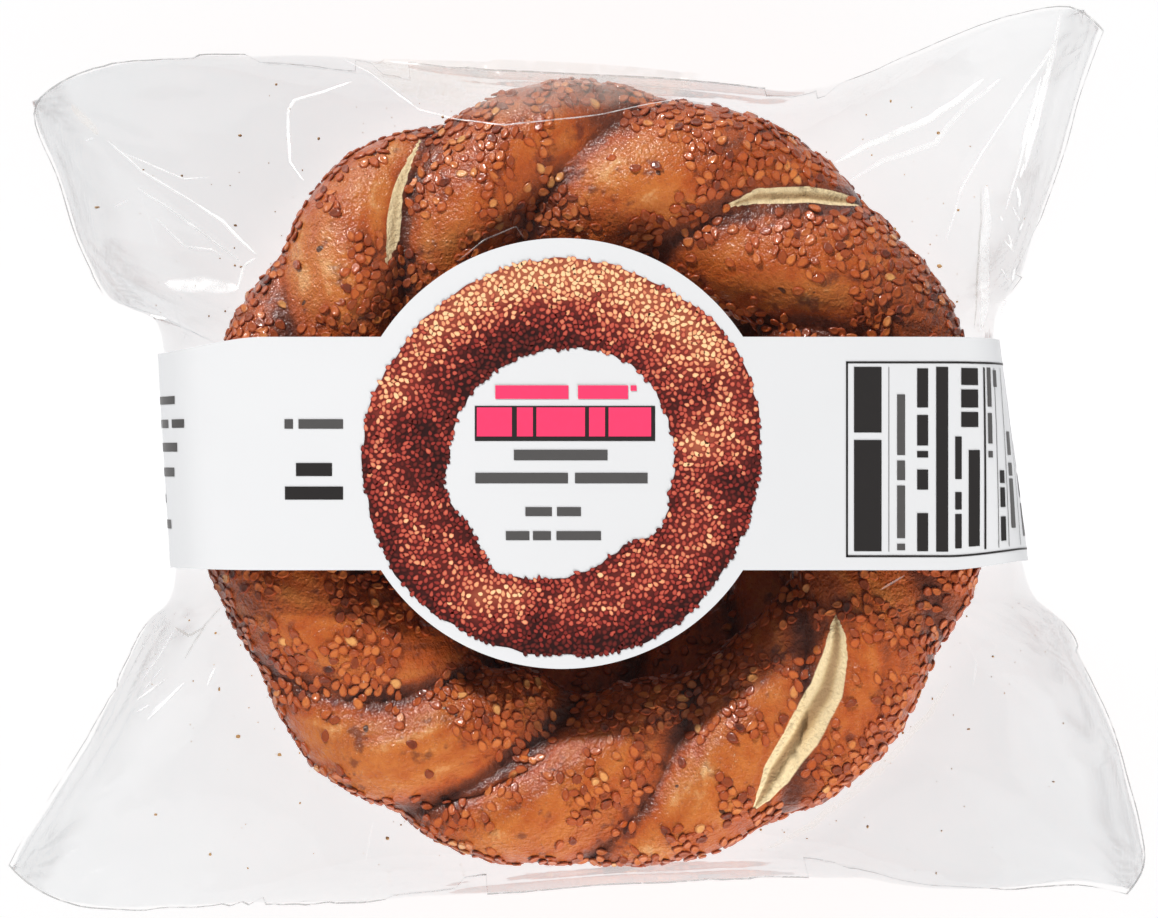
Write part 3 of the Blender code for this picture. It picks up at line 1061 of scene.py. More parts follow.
@dataclass
class ClearFilm:
    """The bag's film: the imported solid's skin, made finer and given the folds that hold and seal it.

    Folds fan out from the anchors, where the band holds the film, and from the ears' tips. The corners stay sharp.
    The clearness gives angles round the ears and how clear the film is there.
    """

    waist_y: float = 0.0051
    waist_half: float = 0.0245
    corner_reach: float = 0.0022
    wave_depth: float = 0.00035
    wave_size: float = 0.017
    calm_share: float = 0.10
    anchor_fan: tuple[float, ...] = (0.0011, 0.006, 0.050, 5.0)
    tip_fan: tuple[float, ...] = (0.0009, 0.004, 0.055, 6.0)
    bread_gap: float = 0.00035
    anchors: Line = tenths(840, 310, -900, 310, -890, -210, 890, -210)
    tips: Line = tenths(1040, 940, -1160, 800, -1210, -840, 1150, -840)
    corners: Line = tenths(1048, 935, 1012, 972, -1184, 775, -1240, -828, 1164, -810, 1150, -868)
    clearness: tuple[tuple[float, ...], tuple[float, ...]] = (
        (0, 45, 90, 120, 140, 180, 225, 270, 315, 360), (0.5, 0.95, 0.35, 0.10, 0.10, 0.4, 0.60, 0.4, 0.04, 0.5))
    seal_lines: tuple[Line, ...] = (
        tenths(1048, 960, 965, 650, 880, 420),
        tenths(-1180, 790, -1068, 480, -985, 360),
        tenths(-1240, -840, -1050, -530, -935, -310),
        tenths(1170, -850, 1115, -595, 970, -300),
    )
    seal_width: float = 0.0075
    creases: tuple[Crease, ...] = (
        Crease(tenths(-508, 848, -349, 731, -181, 713, 10, 734, 192, 770), 0.0006, 0.0007, True),
        Crease(tenths(-504, 804, -605, 764, -615, 633, -575, 582), 0.0005, 0.0008),
        Crease(tenths(-1104, 761, -900, 600, -701, 451), 0.0005, 0.001),
        Crease(tenths(-1120, 700, -930, 520, -800, 400), 0.0004, 0.0009),
        Crease(tenths(985, 880, 780, 790, 631, 699), 0.0006, 0.001),
        Crease(tenths(990, 850, 880, 650, 807, 492), 0.0006, 0.0009),
        Crease(tenths(700, 860, 850, 850, 960, 900), 0.0006, 0.0012),
        Crease(tenths(-887, -210, -800, -260, -732, -290), 0.0008, 0.001),
        Crease(tenths(-930, -340, -830, -400, -790, -470), 0.0007, 0.001),
        Crease(tenths(-1150, -780, -980, -600, -820, -500), 0.0006, 0.0014),
        Crease(tenths(1100, -790, 950, -640, 830, -520), 0.0006, 0.0014),
        Crease(tenths(1120, -720, 1010, -500, 930, -330), 0.0006, 0.0012),
    )

    def fine_mesh(self) -> bpy.types.Mesh:
        """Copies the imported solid's skin as quads and subdivides it twice."""
        builder = bmesh.new()
        builder.from_mesh(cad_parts[BAG_NODE].data)
        bmesh.ops.remove_doubles(builder, verts=builder.verts, dist=1e-6)
        bmesh.ops.join_triangles(
            builder, faces=builder.faces,
            angle_face_threshold=math.radians(35), angle_shape_threshold=math.radians(60),
        )
        rough = bpy.data.meshes.new("film_rough")
        builder.to_mesh(rough)
        builder.free()
        sharp = rough.attributes.new("crease_vert", "FLOAT", "POINT")
        for tip_x, tip_y in self.corners:
            for number, vert in enumerate(rough.vertices):
                if math.hypot(vert.co.x - tip_x, vert.co.y - tip_y) < self.corner_reach:
                    sharp.data[number].value = 1.0
        holder = bpy.data.objects.new("film_rough", rough)
        bpy.context.scene.collection.objects.link(holder)
        finer = holder.modifiers.new("finer", "SUBSURF")
        finer.levels = finer.render_levels = 2
        bpy.context.view_layer.update()
        fine = bpy.data.meshes.new_from_object(holder.evaluated_get(bpy.context.evaluated_depsgraph_get()))
        bpy.data.objects.remove(holder)
        return fine

    def ear_share(self, x: np.ndarray, y: np.ndarray) -> np.ndarray:
        """Rises from 0 over the stack to 1 out in the ears."""
        return smooth_step(np.hypot(x, y), 0.076, 0.090) * smooth_step(
            np.abs(y - self.waist_y), self.waist_half + 0.001, self.waist_half + 0.010)

    def folds(self, x: np.ndarray, y: np.ndarray) -> np.ndarray:
        """Works out the folds that fan out from the band and from the ears' tips.

        Args:
            x: the film's places.
            y: the same.

        Returns:
            The lift at each place.
        """
        grain = Grain(41)
        lift = np.zeros(x.shape)
        fans = [(*p, *self.anchor_fan) for p in self.anchors] + [(*p, *self.tip_fan) for p in self.tips]
        for number, (px, py, height, start, reach, pitch) in enumerate(fans):
            away, angle = np.hypot(x - px, y - py), np.arctan2(y - py, x - px)
            line = np.stack([angle * pitch, away / 0.05, 0 * x + 3.7 * number], -1)
            ridge = 1 - 2 * np.abs(grain.layers(line, 1.0, 2))
            strength = smooth_step(away, start, start + 0.012) * smooth_step(away, reach, reach * 0.45)
            lift += height * np.clip(ridge, -0.5, 1) * strength
        return lift * self.ear_share(x, y)

    def near_seal(self, x: np.ndarray, y: np.ndarray) -> np.ndarray:
        """Measures how far places lie from the welded edges, as a share of the weld's width."""
        nearest = np.full(x.shape, np.inf)
        for line in self.seal_lines:
            for _, distance, _ in segments(line, x, y):
                nearest = np.minimum(nearest, distance)
        return nearest / self.seal_width

    def clear_of(self, bread: list[bpy.types.Object], points: np.ndarray, normals: np.ndarray) -> np.ndarray:
        """Lifts the film's top where the bread would poke through.

        Args:
            bread: the pieces that the film's top lies on.
            points: the film's places.
            normals: what the film faces.

        Returns:
            The places, lifted where needed.
        """
        trees = [search_tree(piece) for piece in bread]
        radius = np.hypot(points[:, 0], points[:, 1])
        lifted = points.copy()
        for k in np.nonzero((normals[:, 2] > 0.12) & (radius > 0.034) & (radius < 0.086))[0]:
            for tree in trees:
                top = top_of(tree, points[k, 0], points[k, 1])
                if top is not None:
                    lifted[k, 2] = max(lifted[k, 2], top + self.bread_gap)
        LOG.info("lifted the film by up to %.2f mm", 1000 * float(np.max(lifted[:, 2] - points[:, 2])))
        return lifted

    def build(self, finish: bpy.types.Material, bread: list[bpy.types.Object]) -> bpy.types.Object:
        """Makes the film.

        Args:
            finish: the clear material.
            bread: the pieces that the film's top lies on.

        Returns:
            The film.
        """
        mesh = self.fine_mesh()
        count = len(mesh.vertices)
        points, normals = np.empty(count * 3), np.empty(count * 3)
        mesh.vertices.foreach_get("co", points)
        mesh.vertices.foreach_get("normal", normals)
        points, normals = points.reshape(-1, 3), normals.reshape(-1, 3)
        x, y = points[:, 0], points[:, 1]
        waist_off = smooth_step(np.abs(y - self.waist_y), self.waist_half, self.waist_half + 0.008)
        loose = mix(self.calm_share, 1.0, self.ear_share(x, y)) * waist_off
        wave = self.wave_depth * Grain(7).layers(points, self.wave_size, 3) * loose
        above = smooth_step(normals[:, 2], -0.05, 0.25)
        lift = self.folds(x, y)
        for crease in self.creases:
            lift = lift + crease.lift(x, y) * above
        moved = points + normals * wave[:, None]
        moved[:, 2] += lift
        mesh.vertices.foreach_set("co", self.clear_of(bread, moved, normals).ravel())
        mesh.update()
        film = place_piece("clear_film", mesh, finish)
        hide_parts(BAG_NODE)
        across = self.near_seal(x, y)
        seal = smooth_step(across, 1.0, 0.9)
        paint(film, "seal", seal)
        paint(film, "seal_lines", seal * (0.5 + 0.5 * np.cos(across * 26)) ** 4)
        clear = np.interp(np.degrees(np.arctan2(y, x)) % 360, *self.clearness)
        paint(film, "clarity", mix(0.85, clear, smooth_step(np.hypot(x, y), 0.080, 0.086)))
        return film


@dataclass(frozen=True)
class Fold:
    """A crisp crease of the film: a tent-shaped strip along a line, seen from above.

    The rise is the slope of the tent's sides.
    """

    STEP: ClassVar[float] = 0.0007

    kind: FoldKind
    width: float
    rise: float
    line: Line

    @classmethod
    def table(cls, kind: FoldKind, rise: float, *rows: tuple[int, ...]) -> tuple["Fold", ...]:
        """Reads folds from rows of the width and the line's places, in tenths of a millimetre."""
        return tuple(cls(kind, row[0] / TENTHS_IN_METRE, rise, tenths(*row[1:])) for row in rows)

    def stations(self) -> list[tuple[float, ...]]:
        """Lists places along the line as (x, y, sideways x, sideways y, half width)."""
        points = np.array(self.line)
        lengths = np.hypot(*np.diff(points, axis=0).T)
        marks = np.concatenate([[0], np.cumsum(lengths)])
        count = max(4, math.ceil(marks[-1] / self.STEP))
        run = np.linspace(0, marks[-1], count + 1)
        x, y = np.interp(run, marks, points[:, 0]), np.interp(run, marks, points[:, 1])
        along = unit(np.stack([np.gradient(x), np.gradient(y)], -1))
        share = run / marks[-1]
        half = 0.5 * self.width * np.clip(4 * share * (1 - share), 0, 1) ** 0.45
        wobble = 0.08 * self.width * np.sin(run / 0.0031) + 0.05 * self.width * np.sin(run / 0.0013 + 2)
        return [(x[k] - along[k, 1] * wobble[k], y[k] + along[k, 0] * wobble[k], -along[k, 1], along[k, 0], half[k])
                for k in range(count + 1)]


@dataclass
class FoldSet:
    """The painted highlights and painted shade along the film's creases, its hazy laps, whose warm tint is partly
    painted reflection, and the painted dark line of its outline, laid on it from above.
    """

    lift: float = 0.00022
    shares: tuple[float, ...] = (-1.0, -0.45, 0.0, 0.45, 1.0)
    rim_turn: float = 0.7
    rim_steps: tuple[float, ...] = (-0.00018, 0.00002, 0.00022)
    rim_lift: float = 0.0001
    rim_jump: float = 0.006
    rim_bend: float = 0.0011
    waist_y: float = ClearFilm.waist_y
    waist_half: float = 0.034
    folds: tuple[Fold, ...] = (
        *Fold.table(
            FoldKind.GLARE, 0.45,
            (7, -490, 803, -552, 782, -610, 766, -622, 745, -620, 690, -616, 640, -585, 599),
            (8, -810, 558, -752, 520, -712, 481, -679, 450), (7, -719, 382, -706, 428, -681, 444),
            (7, 953, 901, 884, 805, 830, 728), (5, 943, 901, 922, 810, 901, 718), (6, 829, 537, 836, 528),
            (7, 884, 648, 876, 618), (8, 858, 432, 850, 402), (6, 884, 532, 872, 508), (5, 858, 558, 876, 528),
            (5, 836, 488, 859, 464), (5, -950, -461, -878, -410), (6, -921, -497, -837, -415),
            (5, -769, -381, -786, -420),
        ),
        *Fold.table(
            FoldKind.GLARE, 0.2,
            (10, -905, 330, -881, 324, -860, 322), (16, 482, 634, 544, 668, 604, 698, 681, 729, 743, 774, 793, 818),
            (9, 868, 600, 876, 575, 874, 556), (8, 846, 504, 853, 485, 852, 468),
        ),
        *Fold.table(
            FoldKind.FAINT, 0.45,
            (4, -518, 859, -455, 821, -406, 783, -351, 741, -281, 722, -180, 708, -80, 719, 10, 731, 111, 754, 191,
             769),
            (4, -981, 674, -881, 630, -834, 610, -779, 613), (6, -1006, 698, -928, 631, -832, 572, -790, 545),
            (7, -937, 595, -847, 538, -784, 491, -712, 436), (6, -896, 532, -832, 471, -775, 464, -751, 451),
            (4, -1053, 699, -1035, 704), (4, -990, 560, -957, 572), (6, 840, 742, 797, 680, 741, 587, 709, 480),
            (12, 962, 958, 925, 800, 886, 632), (9, 915, 824, 895, 750, 877, 680), (6, 800, 480, 795, 383),
            (7, 936, 868, 904, 762, 866, 626, 842, 549), (9, 834, 368, 822, 330), (5, 825, 429, 845, 400),
            (5, -933, -438, -886, -387), (5, -913, -482, -866, -442), (4, -949, -485, -918, -466),
            (6, -855, -307, -892, -362, -939, -422),
        ),
        *Fold.table(
            FoldKind.FAINT, 0.1,
            (36, -875, 396, -819, 388, -765, 392, -717, 384), (26, 796, 598, 797, 523, 792, 446, 775, 298),
        ),
        *Fold.table(
            FoldKind.FAINT, 0.2,
            (14, 512, 598, 587, 643, 687, 678, 758, 761, 830, 818), (12, 905, 742, 892, 690, 885, 655),
        ),
        *Fold.table(
            FoldKind.GHOST, 0.45,
            (6, -929, 581, -910, 525, -890, 473), (5, -444, -684, -452, -716, -464, -777),
            (4, -276, 434, -220, 478, -158, 506, -142, 482), (5, 570, -222, 620, -192),
            (6, 752, -330, 772, -372, 764, -421),
        ),
        *Fold.table(
            FoldKind.HAZE, 0.1,
            (22, -1092, 778, -1058, 742, -1025, 708),
        ),
        *Fold.table(
            FoldKind.HAZE, 0.0,
            (26, 710, -410, 672, -470, 600, -559, 527, -628, 440, -692, 347, -743),
        ),
        *Fold.table(
            FoldKind.SHADE, 0.45,
            (6, 785, 598, 785, 523, 778, 446, 759, 298), (8, -854, -301, -823, -319, -789, -301),
            (6, -748, -255, -787, -295, -809, -327, -836, -370),
        ),
    )
    lap_low: Line = tenths(-518, 859, -351, 741, -180, 708, 10, 731, 111, 754, 210, 775)
    lap_high: Line = tenths(-540, 862, -350, 849, -180, 846, 10, 838, 111, 832, 230, 820)

    def build(self, film: bpy.types.Object) -> None:
        """Makes one piece for each kind of fold.

        Args:
            film: the bag's film.
        """
        tree = search_tree(film)
        strips: dict[FoldKind, list[Strip]] = {kind: [] for kind in FoldKind}
        for fold in self.folds:
            strips[fold.kind].append(self.strip(fold, tree))
        strips[FoldKind.HAZE].append(self.lap_strip(tree))
        strips[FoldKind.RIM].append(self.rim_strip(film))
        for kind, made in strips.items():
            points, core, faces = [], [], []
            for strip_points, strip_core, columns in made:
                faces += open_grid(len(strip_points) // columns, columns, len(points))
                points += strip_points
                core += strip_core
            piece = mesh_piece(f"film_{kind.value.name}", np.array(points), faces, kind.value.material())
            paint(piece, "core", np.array(core))

    @staticmethod
    def on_film(tree: BVHTree, x: float, y: float, fallback: float) -> float:
        """Finds the height of the film's top at a place, or gives the fallback beside it."""
        top = top_of(tree, x, y)
        return fallback if top is None else top

    def strip(self, fold: Fold, tree: BVHTree) -> Strip:
        """Lays one fold on the film.

        Args:
            fold: the fold.
            tree: the film, for finding its height.

        Returns:
            The points, how solid each is, and how many stand in a row.
        """
        points, core, height = [], [], 0.05
        for x, y, side_x, side_y, half in fold.stations():
            for share in self.shares:
                px, py = x + side_x * half * share, y + side_y * half * share
                height = self.on_film(tree, px, py, height)
                tent = fold.rise * half * (1 - abs(share))
                points.append((px, py, height + self.lift + tent))
                core.append(0.0 if abs(share) == 1 else 1.0)
        return points, core, len(self.shares)

    def lap_strip(self, tree: BVHTree) -> Strip:
        """Lays the second sheet that laps over the rear of the stack."""
        low, high = np.array(self.lap_low), np.array(self.lap_high)
        rows, columns = 60, 9
        marks = np.linspace(0, 1, len(low))
        points, core, height = [], [], 0.06
        for share in np.linspace(0, 1, rows):
            start = [np.interp(share, marks, low[:, k]) for k in (0, 1)]
            end = [np.interp(share, marks, high[:, k]) for k in (0, 1)]
            for across in np.linspace(0, 1, columns):
                x, y = (mix(start[k], end[k], across) for k in (0, 1))
                height = self.on_film(tree, x, y, height)
                points.append((x, y, height + 0.6 * self.lift))
                core.append(float(smooth_step(share, 0.0, 0.15) * smooth_step(share, 1.0, 0.9)
                                  * smooth_step(across, 0.0, 0.3)))
        return points, core, columns

    def rim_strip(self, film: bpy.types.Object) -> Strip:
        """Lays a thin line of painted shade along the bag's outline, where its film is seen edge on."""
        places = np.array([tuple(v.co) for v in film.data.vertices])
        angle, away = np.degrees(np.arctan2(places[:, 1], places[:, 0])) % 360, np.hypot(places[:, 0], places[:, 1])
        marks = np.arange(0, 360, self.rim_turn)
        best = []
        for mark in marks:
            near = np.nonzero(np.abs((angle - mark + 180) % 360 - 180) < 0.5)[0]
            best.append(places[near[np.argmax(away[near])]])
        best = np.array(best)
        outward = np.stack(cos_sin(marks), -1)
        outline = np.stack([np.hypot(best[:, 0], best[:, 1]), best[:, 2]])
        around = np.sort([np.roll(outline, step, axis=1) for step in range(-1, 2)], axis=0)
        radius, level = around[1]
        steep = around[2, 0] - around[0, 0] > self.rim_jump
        for _ in range(3):
            between = 0.5 * (np.roll(radius, 1) + np.roll(radius, -1))
            radius = np.where(np.abs(between - radius) < self.rim_bend, 0.5 * (radius + between), radius)
        points, core = [], []
        for k in (*range(len(best)), 0):
            for step in self.rim_steps:
                x, y = outward[k] * (radius[k] + step)
                points.append((x, y, level[k] + self.rim_lift))
                core.append(0.0 if abs(y - self.waist_y) < self.waist_half or steep[k] else 1.0)
        return points, core, len(self.rim_steps)


@dataclass
class LooseBits:
    """Crumbs that have fallen to the lower sheet of the ears, where the two sheets stand well apart."""

    crumbs: int = 220
    seed: int = 23
    inner_radius: float = 0.084
    spread: float = 0.036
    least_room: float = 0.004
    smallest: float = 0.00012
    growth: float = 0.00040

    def spots(self, film: bpy.types.Object, wanted: int, dice: np.random.Generator) -> list[tuple[Vector, Vector]]:
        """Finds places on the lower sheet.

        Args:
            film: the bag's film.
            wanted: how many places.
            dice: the random numbers.

        Returns:
            Pairs of a place and the sheet's upward direction there.
        """
        tree, upward, beside = search_tree(film), Vector((0, 0, 1)), Vector((0, 0, 0.0005))
        found = []
        while len(found) < wanted:
            angle, radius = dice.uniform(0, 2 * np.pi), self.inner_radius + self.spread * dice.uniform() ** 1.6
            x, y = radius * math.cos(angle), radius * math.sin(angle)
            low, normal = tree.ray_cast(Vector((x, y, -0.02)), upward)[:2]
            high = tree.ray_cast(low + beside, upward)[0] if low else None
            if high is not None and high.z - low.z > self.least_room and abs(normal.z) > 0.35:
                found.append((low, normal * math.copysign(1, normal.z)))
        return found

    def build(self, film: bpy.types.Object, finish: bpy.types.Material) -> None:
        """Makes the crumbs.

        Args:
            film: the bag's film.
            finish: the crumbs' material.
        """
        dice = np.random.default_rng(self.seed)
        builder = bmesh.new()
        for place, up in self.spots(film, self.crumbs, dice):
            size = self.smallest + self.growth * dice.uniform() ** 4
            made = bmesh.ops.create_icosphere(builder, subdivisions=1, radius=size)["verts"]
            stretch = dice.uniform(0.6, 1.3, 3)
            for vert in made:
                wobble = 1 + 0.25 * dice.uniform(-1, 1)
                vert.co = Vector(tuple(c * s * wobble for c, s in zip(vert.co, stretch))) + place + up * size * 0.8
        mesh = bpy.data.meshes.new("loose_crumbs")
        builder.to_mesh(mesh)
        builder.free()
        place_piece("loose_crumbs", mesh, finish)


@dataclass(frozen=True)
class Bar:
    """A plain printed bar: along and across the band from (start, low) to (end, high)."""

    start: float
    low: float
    end: float
    high: float
    ink: Ink = Ink.BLACK

    @classmethod
    def row(cls, ink: Ink, low: int, high: int, *edges: int) -> list["Bar"]:
        """Makes bars side by side along the band from their edges, all in tenths of a millimetre."""
        (low, high), = tenths(low, high)
        return [cls(start, low, end, high, ink) for start, end in tenths(*edges)]

    @classmethod
    def column(cls, ink: Ink, start: int, end: int, *edges: int) -> list["Bar"]:
        """Makes bars one above another across the band from their edges, all in tenths of a millimetre."""
        (start, end), = tenths(start, end)
        return [cls(start, low, end, high, ink) for low, high in tenths(*edges)]


@dataclass
class PrintedSleeve:
    """The band: a thin sleeve round the waist with a disc on its front, printed with plain bars and fields.

    A place on it is given by its run along the band from the middle of the top, and by y. Each wall is given by
    its x at the band's middle and its slope. The end pulls give how far the upper and the lower edge are drawn in.
    The ring marks give an angle with the printed ring's inner and outer radius in millimetres. The ring lights
    give an angle, a share of the way out, how far each reaches along and across, and how much lighter it is.
    """

    centre_x: float = -0.0066
    centre_y: float = 0.0051
    half_width: float = 0.0233
    disc_radius: float = 0.0430
    left_wall: tuple[float, float] = (-0.0860, -0.059)
    right_wall: tuple[float, float] = (0.0836, -0.130)
    top_shoulder: float = 0.009
    bottom_shoulder: float = 0.012
    film_top: float = 0.1036
    film_bottom: float = 0.0012
    gap: float = 0.00075
    thickness: float = 0.00022
    ink_lift: float = 0.00008
    left_pull: tuple[float, float] = (-0.0032, 0.0004)
    right_pull: tuple[float, float] = (-0.0004, 0.0018)
    sleeve_steps: int = 170
    disc_steps: int = 89
    steps_across: int = 25
    bar_step: float = 0.0009
    bar_step_up: float = 0.0022
    light_gain: float = 1.35
    seed_spacing: float = 0.00084
    seed_size: tuple[float, float] = (0.00068, 0.00049)
    seed_tries: int = 24000
    seed_corners: int = 7
    seed_tone: tuple[float, float] = (0.08, 0.17)
    ring_marks: Line = (
        (0, 22.6, 39.5), (20, 22.0, 40.4), (37, 22.6, 40.4), (59, 22.2, 38.7), (90, 20.9, 39.0), (121, 20.9, 38.4),
        (152, 21.8, 38.3), (160, 22.1, 39.4), (180, 22.4, 39.9), (197, 24.6, 40.0), (220, 23.4, 41.2),
        (242, 27.2, 40.5), (253, 26.0, 40.5), (270, 24.8, 40.2), (285, 23.7, 41.1), (304, 22.0, 41.0),
        (323, 25.0, 39.6), (341, 22.8, 39.5),
    )
    ring_light: Line = (
        (100, 0.95, 58, 0.42, 0.46), (40, 0.7, 28, 0.4, 0.18), (166, 0.85, 12, 0.3, 0.2), (112, 0.16, 34, 0.3, -0.36),
        (150, 0.3, 22, 0.35, -0.16), (172, 0.52, 8, 0.35, -0.34), (186, 0.2, 10, 0.3, -0.26), (4, 0.25, 7, 0.3, 0.34),
        (350, 0.75, 5, 0.3, -0.34), (24, 0.45, 5, 0.35, -0.28), (240, 0.45, 7, 0.45, 0.26),
        (252, 0.25, 6, 0.25, 0.28), (281, 0.4, 22, 0.3, 0.02), (286, 0.96, 44, 0.32, -0.34),
        (205, 0.95, 40, 0.25, -0.14), (262, 0.55, 4, 0.45, -0.22), (320, 0.5, 22, 0.4, 0.06),
        (215, 0.1, 22, 0.22, -0.1),
    )

    def section(self, run: float, y: float, lift: float) -> Triple:
        """Finds a point on the band.

        Args:
            run: distance from the middle of the top, along the band towards +X.
            y: the place across the band.
            lift: height above the sleeve's inner side.

        Returns:
            The point.
        """
        side = 1.0 if run >= 0 else -1.0
        y = y + self.pull(run, y)
        wall, slope = self.right_wall if side > 0 else self.left_wall
        wall_x = abs(wall + slope * (y - self.centre_y))
        out = self.gap + lift
        top_radius, low_radius = self.top_shoulder + out, self.bottom_shoulder + out
        flat = wall_x - self.top_shoulder
        left = abs(run) - flat
        if left <= 0:
            return run, y, self.film_top + out
        arc = math.pi / 2 * (self.top_shoulder + self.gap)
        if left <= arc:
            angle = left / (self.top_shoulder + self.gap)
            x = flat + top_radius * math.sin(angle)
            return side * x, y, self.film_top - self.top_shoulder + top_radius * math.cos(angle)
        left -= arc
        high, low = self.film_top - self.top_shoulder, self.film_bottom + self.bottom_shoulder
        if left <= high - low:
            return side * (wall_x + out), y, high - left
        left -= high - low
        arc = math.pi / 2 * (self.bottom_shoulder + self.gap)
        under = wall_x - self.bottom_shoulder
        if left <= arc:
            angle = left / (self.bottom_shoulder + self.gap)
            return side * (under + low_radius * math.cos(angle)), y, low - low_radius * math.sin(angle)
        return side * (under - (left - arc)), y, self.film_bottom - out

    def pull(self, run: float, y: float) -> float:
        """Works out how far the band's edges are drawn in where it turns down at its ends."""
        edge = (y - self.centre_y) / self.half_width
        (upper, lower), start, full = (self.left_pull, 0.066, 0.090) if run < 0 else (self.right_pull, 0.070, 0.088)
        reach = float(smooth_step(abs(run), start, full)) * float(smooth_step(abs(run), 0.22, 0.17))
        return (upper if edge > 0 else lower) * reach * edge * edge

    def half_loop(self, side: float) -> float:
        """Gives the run from the top's middle to the bottom's middle on one side."""
        wall = abs((self.right_wall if side > 0 else self.left_wall)[0])
        arcs = math.pi / 2 * (self.top_shoulder + self.bottom_shoulder + 2 * self.gap)
        straight = self.film_top - self.top_shoulder - self.film_bottom - self.bottom_shoulder
        return 2 * wall - self.top_shoulder - self.bottom_shoulder + arcs + straight

    def stations(self) -> list[tuple[float, float]]:
        """Lists the sleeve's runs with its half width there, once round."""
        right, left = self.half_loop(1), -self.half_loop(-1)
        widest = math.acos(self.half_width / self.disc_radius)
        disc = [
            (self.centre_x - self.disc_radius * math.sin(a), self.disc_radius * math.cos(a))
            for a in np.linspace(-widest, widest, self.disc_steps)
        ]
        from_right = [(r, self.half_width) for r in np.linspace(right, disc[0][0], self.sleeve_steps)[:-1]]
        to_left = [(r, self.half_width) for r in np.linspace(disc[-1][0], left, self.sleeve_steps)[1:-1]]
        return from_right + disc + to_left

    def build_sleeve(self) -> bpy.types.Object:
        """Makes the white sleeve, with flat cut edges."""
        shares = np.linspace(-1, 1, self.steps_across)
        stations = self.stations()
        rows, columns = len(stations), len(shares)
        sheets = [
            [self.section(run, self.centre_y + half * share, lift) for run, half in stations for share in shares]
            for lift in (0.0, self.thickness)
        ]
        quads = grid_faces(rows, columns, close_columns=False)
        points, faces = [*sheets[1], *sheets[0]], [*quads, *(quads[:, ::-1] + rows * columns)]
        for column in (0, columns - 1):
            edge = [k * columns + column for k in range(rows)]
            start = len(points)
            points += [sheets[side][k] for k in edge for side in (1, 0)]
            for k in range(rows):
                a, b = start + 2 * k, start + 2 * ((k + 1) % rows)
                faces.append((a, a + 1, b + 1, b) if column else (a, b, b + 1, a + 1))
        sleeve = mesh_piece("printed_sleeve", np.array(points), np.array(faces), SleeveFinish().material())
        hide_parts(BAND_NODE)
        return sleeve

    def bars(self) -> list[Bar]:
        """Lays out the plain bars that stand where a pack has its lettering."""
        bars = [
            *Bar.row(Ink.PINK, 160, 187, -199, -53, -34, 66),
            *Bar.row(Ink.PINK, 176, 187, 71, 83),
            *Bar.row(Ink.BLACK, 76, 146, -240, 120),
            *Bar.row(Ink.PINK, 85, 143, -236, -166, -156, -124, -117, -20, -12, 20, 27, 112),
        ]
        for y, height, spans, ink in (
            (0.0048, 0.0021, (-162, 25), Ink.GREY),
            (0.0002, 0.0021, (-239, -54, -40, 105), Ink.GREY),
            (-0.0065, 0.0018, (-139, -86, -76, -28), Ink.GREY),
            (-0.0113, 0.0018, (-178, -131, -124, -88, -77, 12), Ink.GREY),
            (0.0110, 0.0019, (-620, -603, -592, -503), Ink.GREY),
            (0.0019, 0.0026, (-597, -525), Ink.BLACK),
            (-0.0028, 0.0026, (-619, -503), Ink.BLACK),
        ):
            bars += [Bar(start, y - height / 2, end, y + height / 2, ink) for start, end in tenths(*spans)]
        return bars + self.panel() + self.side_text()

    def panel(self) -> list[Bar]:
        """Lays out the boxed table at the band's right, whose lines run up the band."""
        low, high, left, right, line, hair = -0.0156, 0.0235, 0.0501, 0.1280, 0.0004, 0.00012
        inner_low, inner_high = -0.0145, 0.0224
        bars = [
            Bar(left, low, left + line, high),
            Bar(left, low, right, low + line),
            Bar(left, high - line, right, high),
            Bar(right - line, low, right, high),
            Bar(0.0681, inner_low, 0.0705, inner_high),
            Bar(0.0777, inner_low, 0.0781, inner_high),
        ]
        bars += [Bar(run, inner_low, run + hair, inner_high, Ink.GREY) for run in (0.0586, 0.0806, 0.0830, 0.0866)]
        bars += [
            *Bar.column(Ink.BLACK, 517, 572, -144, 78, 93, 224),
            *Bar.column(Ink.GREY, 603, 619, -142, -129, -118, -13, -2, 37, 48, 169),
            *Bar.column(Ink.BLACK, 643, 665, -144, -68, -21, 19, 43, 56, 67, 128, 143, 221),
            *Bar.column(Ink.BLACK, 719, 732, -139, -70, -61, -26, 0, 85),
            *Bar.column(Ink.BLACK, 746, 768, -137, 58),
            *Bar.column(Ink.BLACK, 731, 765, 104, 134, 143, 179, 188, 222),
            *Bar.column(Ink.GREY, 786, 796, 43, 56, 71, 132, 145, 224),
            *Bar.column(Ink.BLACK, 812, 824, -131, -79, -59, -18, -9, 17),
            *Bar.column(Ink.GREY, 803, 813, 185, 219),
            *Bar.column(Ink.GREY, 839, 852, -105, 0, 6, 32, 48, 95),
        ]
        run, words = 0.0885, tenths(-125, -52, -40, 10, 22, 70)
        while run < right - 0.004:
            bars += [Bar(run, low, run + 0.0011, high, Ink.GREY) for low, high in words]
            bars.append(Bar(run + 0.0022, inner_low, run + 0.0022 + hair, inner_high, Ink.GREY))
            run += 0.0034
        return bars

    def side_text(self) -> list[Bar]:
        """Lays out lines of small bars down the left wall."""
        bars = []
        dice = np.random.default_rng(5)
        for y, run in tenths(165, -845, 113, -822, 64, -840, 14, -850, -40, -900, -92, -868):
            while run > -0.1300:
                word = dice.uniform(0.003, 0.009)
                bars.append(Bar(run - word, y - 0.0009, run, y + 0.0009, Ink.GREY))
                run -= word + 0.0012
        return bars

